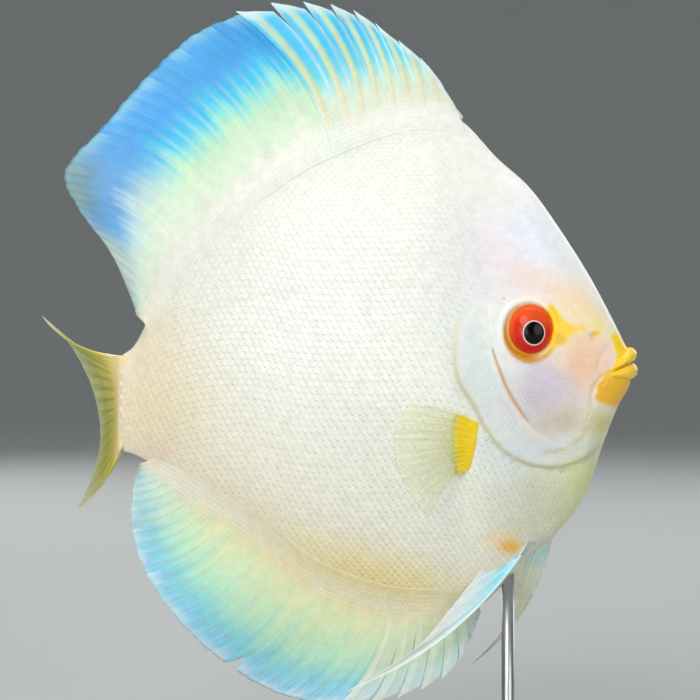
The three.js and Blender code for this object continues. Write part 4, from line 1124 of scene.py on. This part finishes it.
BASE = {"length": 136.0, "width": 84.0, "thickness": 8.0, "corner": 20.0, "bevel": 1.8}
steps = 12
corner_angles = np.concatenate([q * math.pi / 2 + np.linspace(0, math.pi / 2, steps) for q in range(4)])
signs = np.repeat([(1, 1), (-1, 1), (-1, -1), (1, -1)], steps, axis=0)
loops = [(0.5, 0.0), (0.0, 0.5)]
loops += [(BASE["bevel"] * (1 - math.cos(t)), BASE["thickness"] - BASE["bevel"] * (1 - math.sin(t)))
          for t in np.linspace(0, math.pi / 2, 8)]
loops += [(BASE["corner"] * 0.9, BASE["thickness"])]
cx, cy = BASE["length"] / 2 - BASE["corner"], BASE["width"] / 2 - BASE["corner"]
rings = [np.stack([signs[:, 0] * cx + (BASE["corner"] - inset) * np.cos(corner_angles),
                   signs[:, 1] * cy + (BASE["corner"] - inset) * np.sin(corner_angles),
                   np.full(len(signs), height - LIFT)], -1) for inset, height in loops]
add_mesh("stand_base_plate", *capped(np.array(rings)), wood_material, ("stand_base",), "stand_wood")

ROD_X = 37
base_top = BASE["thickness"] - LIFT
rod_top = float(belly_line(ROD_X)) + 1.4
ROD = [(6, base_top), (6, base_top + 0.9), (5.6, base_top + 1.4), (3.4, base_top + 2.1), (2.3, base_top + 3),
       (1.8, base_top + 4.6), (1.7, base_top + 6), (1.7, rod_top)]
rings = [[(ROD_X + r * math.cos(t), r * math.sin(t), z) for t in np.arange(48) / 48 * TURN] for r, z in ROD]
add_mesh("stand_rod_post", *capped(np.array(rings)), steel_material, ("stand_rod",), "stand_metal")

# The studio: a pale bowl for floor and backdrop, soft lamps, and the photograph's camera

studio, _, _ = principled("studio", Base_Color=(0.5, 0.52, 0.515, 1), Roughness=0.9)
curve = [(0.0, 0.0), (0.5, 0.0), (1.2, 0.0), (2.0, 0.0)]
curve += [(2.0 + 1.8 * math.sin(t), 1.8 * (1 - math.cos(t))) for t in np.linspace(0.1, math.pi / 2, 16)]
curve += [(3.8, 3.4)]
turns = np.arange(72) / 72 * TURN
bowl = [(r * math.cos(t), r * math.sin(t), h - 0.0002) for r, h in curve for t in turns]
mesh = bpy.data.meshes.new("floor")
mesh.from_pydata(bowl, [], grid_faces(len(curve), len(turns), close=True).tolist())
mesh.polygons.foreach_set("use_smooth", np.ones(len(mesh.polygons), bool))
mesh.materials.append(studio)
floor = bpy.data.objects.new("floor", mesh)
bpy.context.scene.collection.objects.link(floor)


def lamp(name, at, aim, size, power, colour=(1, 1, 1)):
    """A soft round lamp aimed at a height over the middle of the stand."""
    light = bpy.data.lights.new(name, "AREA")
    light.shape = "DISK"
    light.size = size
    light.energy = power
    light.color = colour
    obj = bpy.data.objects.new(name, light)
    obj.location = at
    toward = np.array((0, 0, aim)) - np.array(at)
    pitch = math.atan2(math.hypot(toward[0], toward[1]), -toward[2])
    obj.rotation_euler = (pitch, 0, math.atan2(toward[1], toward[0]) - math.pi / 2)
    bpy.context.scene.collection.objects.link(obj)


lamp("key", (-0.35, -0.95, 0.85), 0.11, 0.7, 6.7, (1, 0.985, 0.955))
lamp("fill", (0.8, -0.9, 0.35), 0.11, 0.9, 4.2, (0.97, 0.99, 1))
lamp("low", (-0.45, -1.05, 0.16), 0.1, 0.8, 4.4)
lamp("top", (0.1, 0.1, 1.2), 0.11, 0.8, 3.6)
lamp("back", (-0.5, 1.0, 0.7), 0.11, 0.8, 4.5)
lamp("back_fill", (0.7, 0.9, 0.5), 0.11, 0.8, 3)

world = bpy.data.worlds.new("World")
bpy.context.scene.world = world
world.use_nodes = True
world.node_tree.nodes["Background"].inputs["Color"].default_value = (0.95, 0.97, 1, 1)
world.node_tree.nodes["Background"].inputs["Strength"].default_value = 0.34

az, el = math.radians(VIEW["azimuth"]), math.radians(VIEW["elevation"])
back = np.array([math.sin(az) * math.cos(el), -math.cos(az) * math.cos(el), math.sin(el)])
aim = np.array(VIEW["aim"]) + (0, 0, LIFT)
camera_data = bpy.data.cameras.new("camera")
SENSOR, FRAME = 36, 700  # mm, pixels
camera_data.sensor_width = SENSOR
camera_data.lens = SENSOR * VIEW["distance"] / VIEW["pixel"] / FRAME
camera_data.clip_start = 0.01
camera_data.clip_end = 20
camera = bpy.data.objects.new("camera", camera_data)
camera.location = (aim + back * VIEW["distance"]) / 1000
camera.rotation_euler = (math.pi / 2 - el, 0, az)
bpy.context.scene.collection.objects.link(camera)
bpy.context.scene.camera = camera
bpy.context.scene.view_settings.view_transform = "Standard"
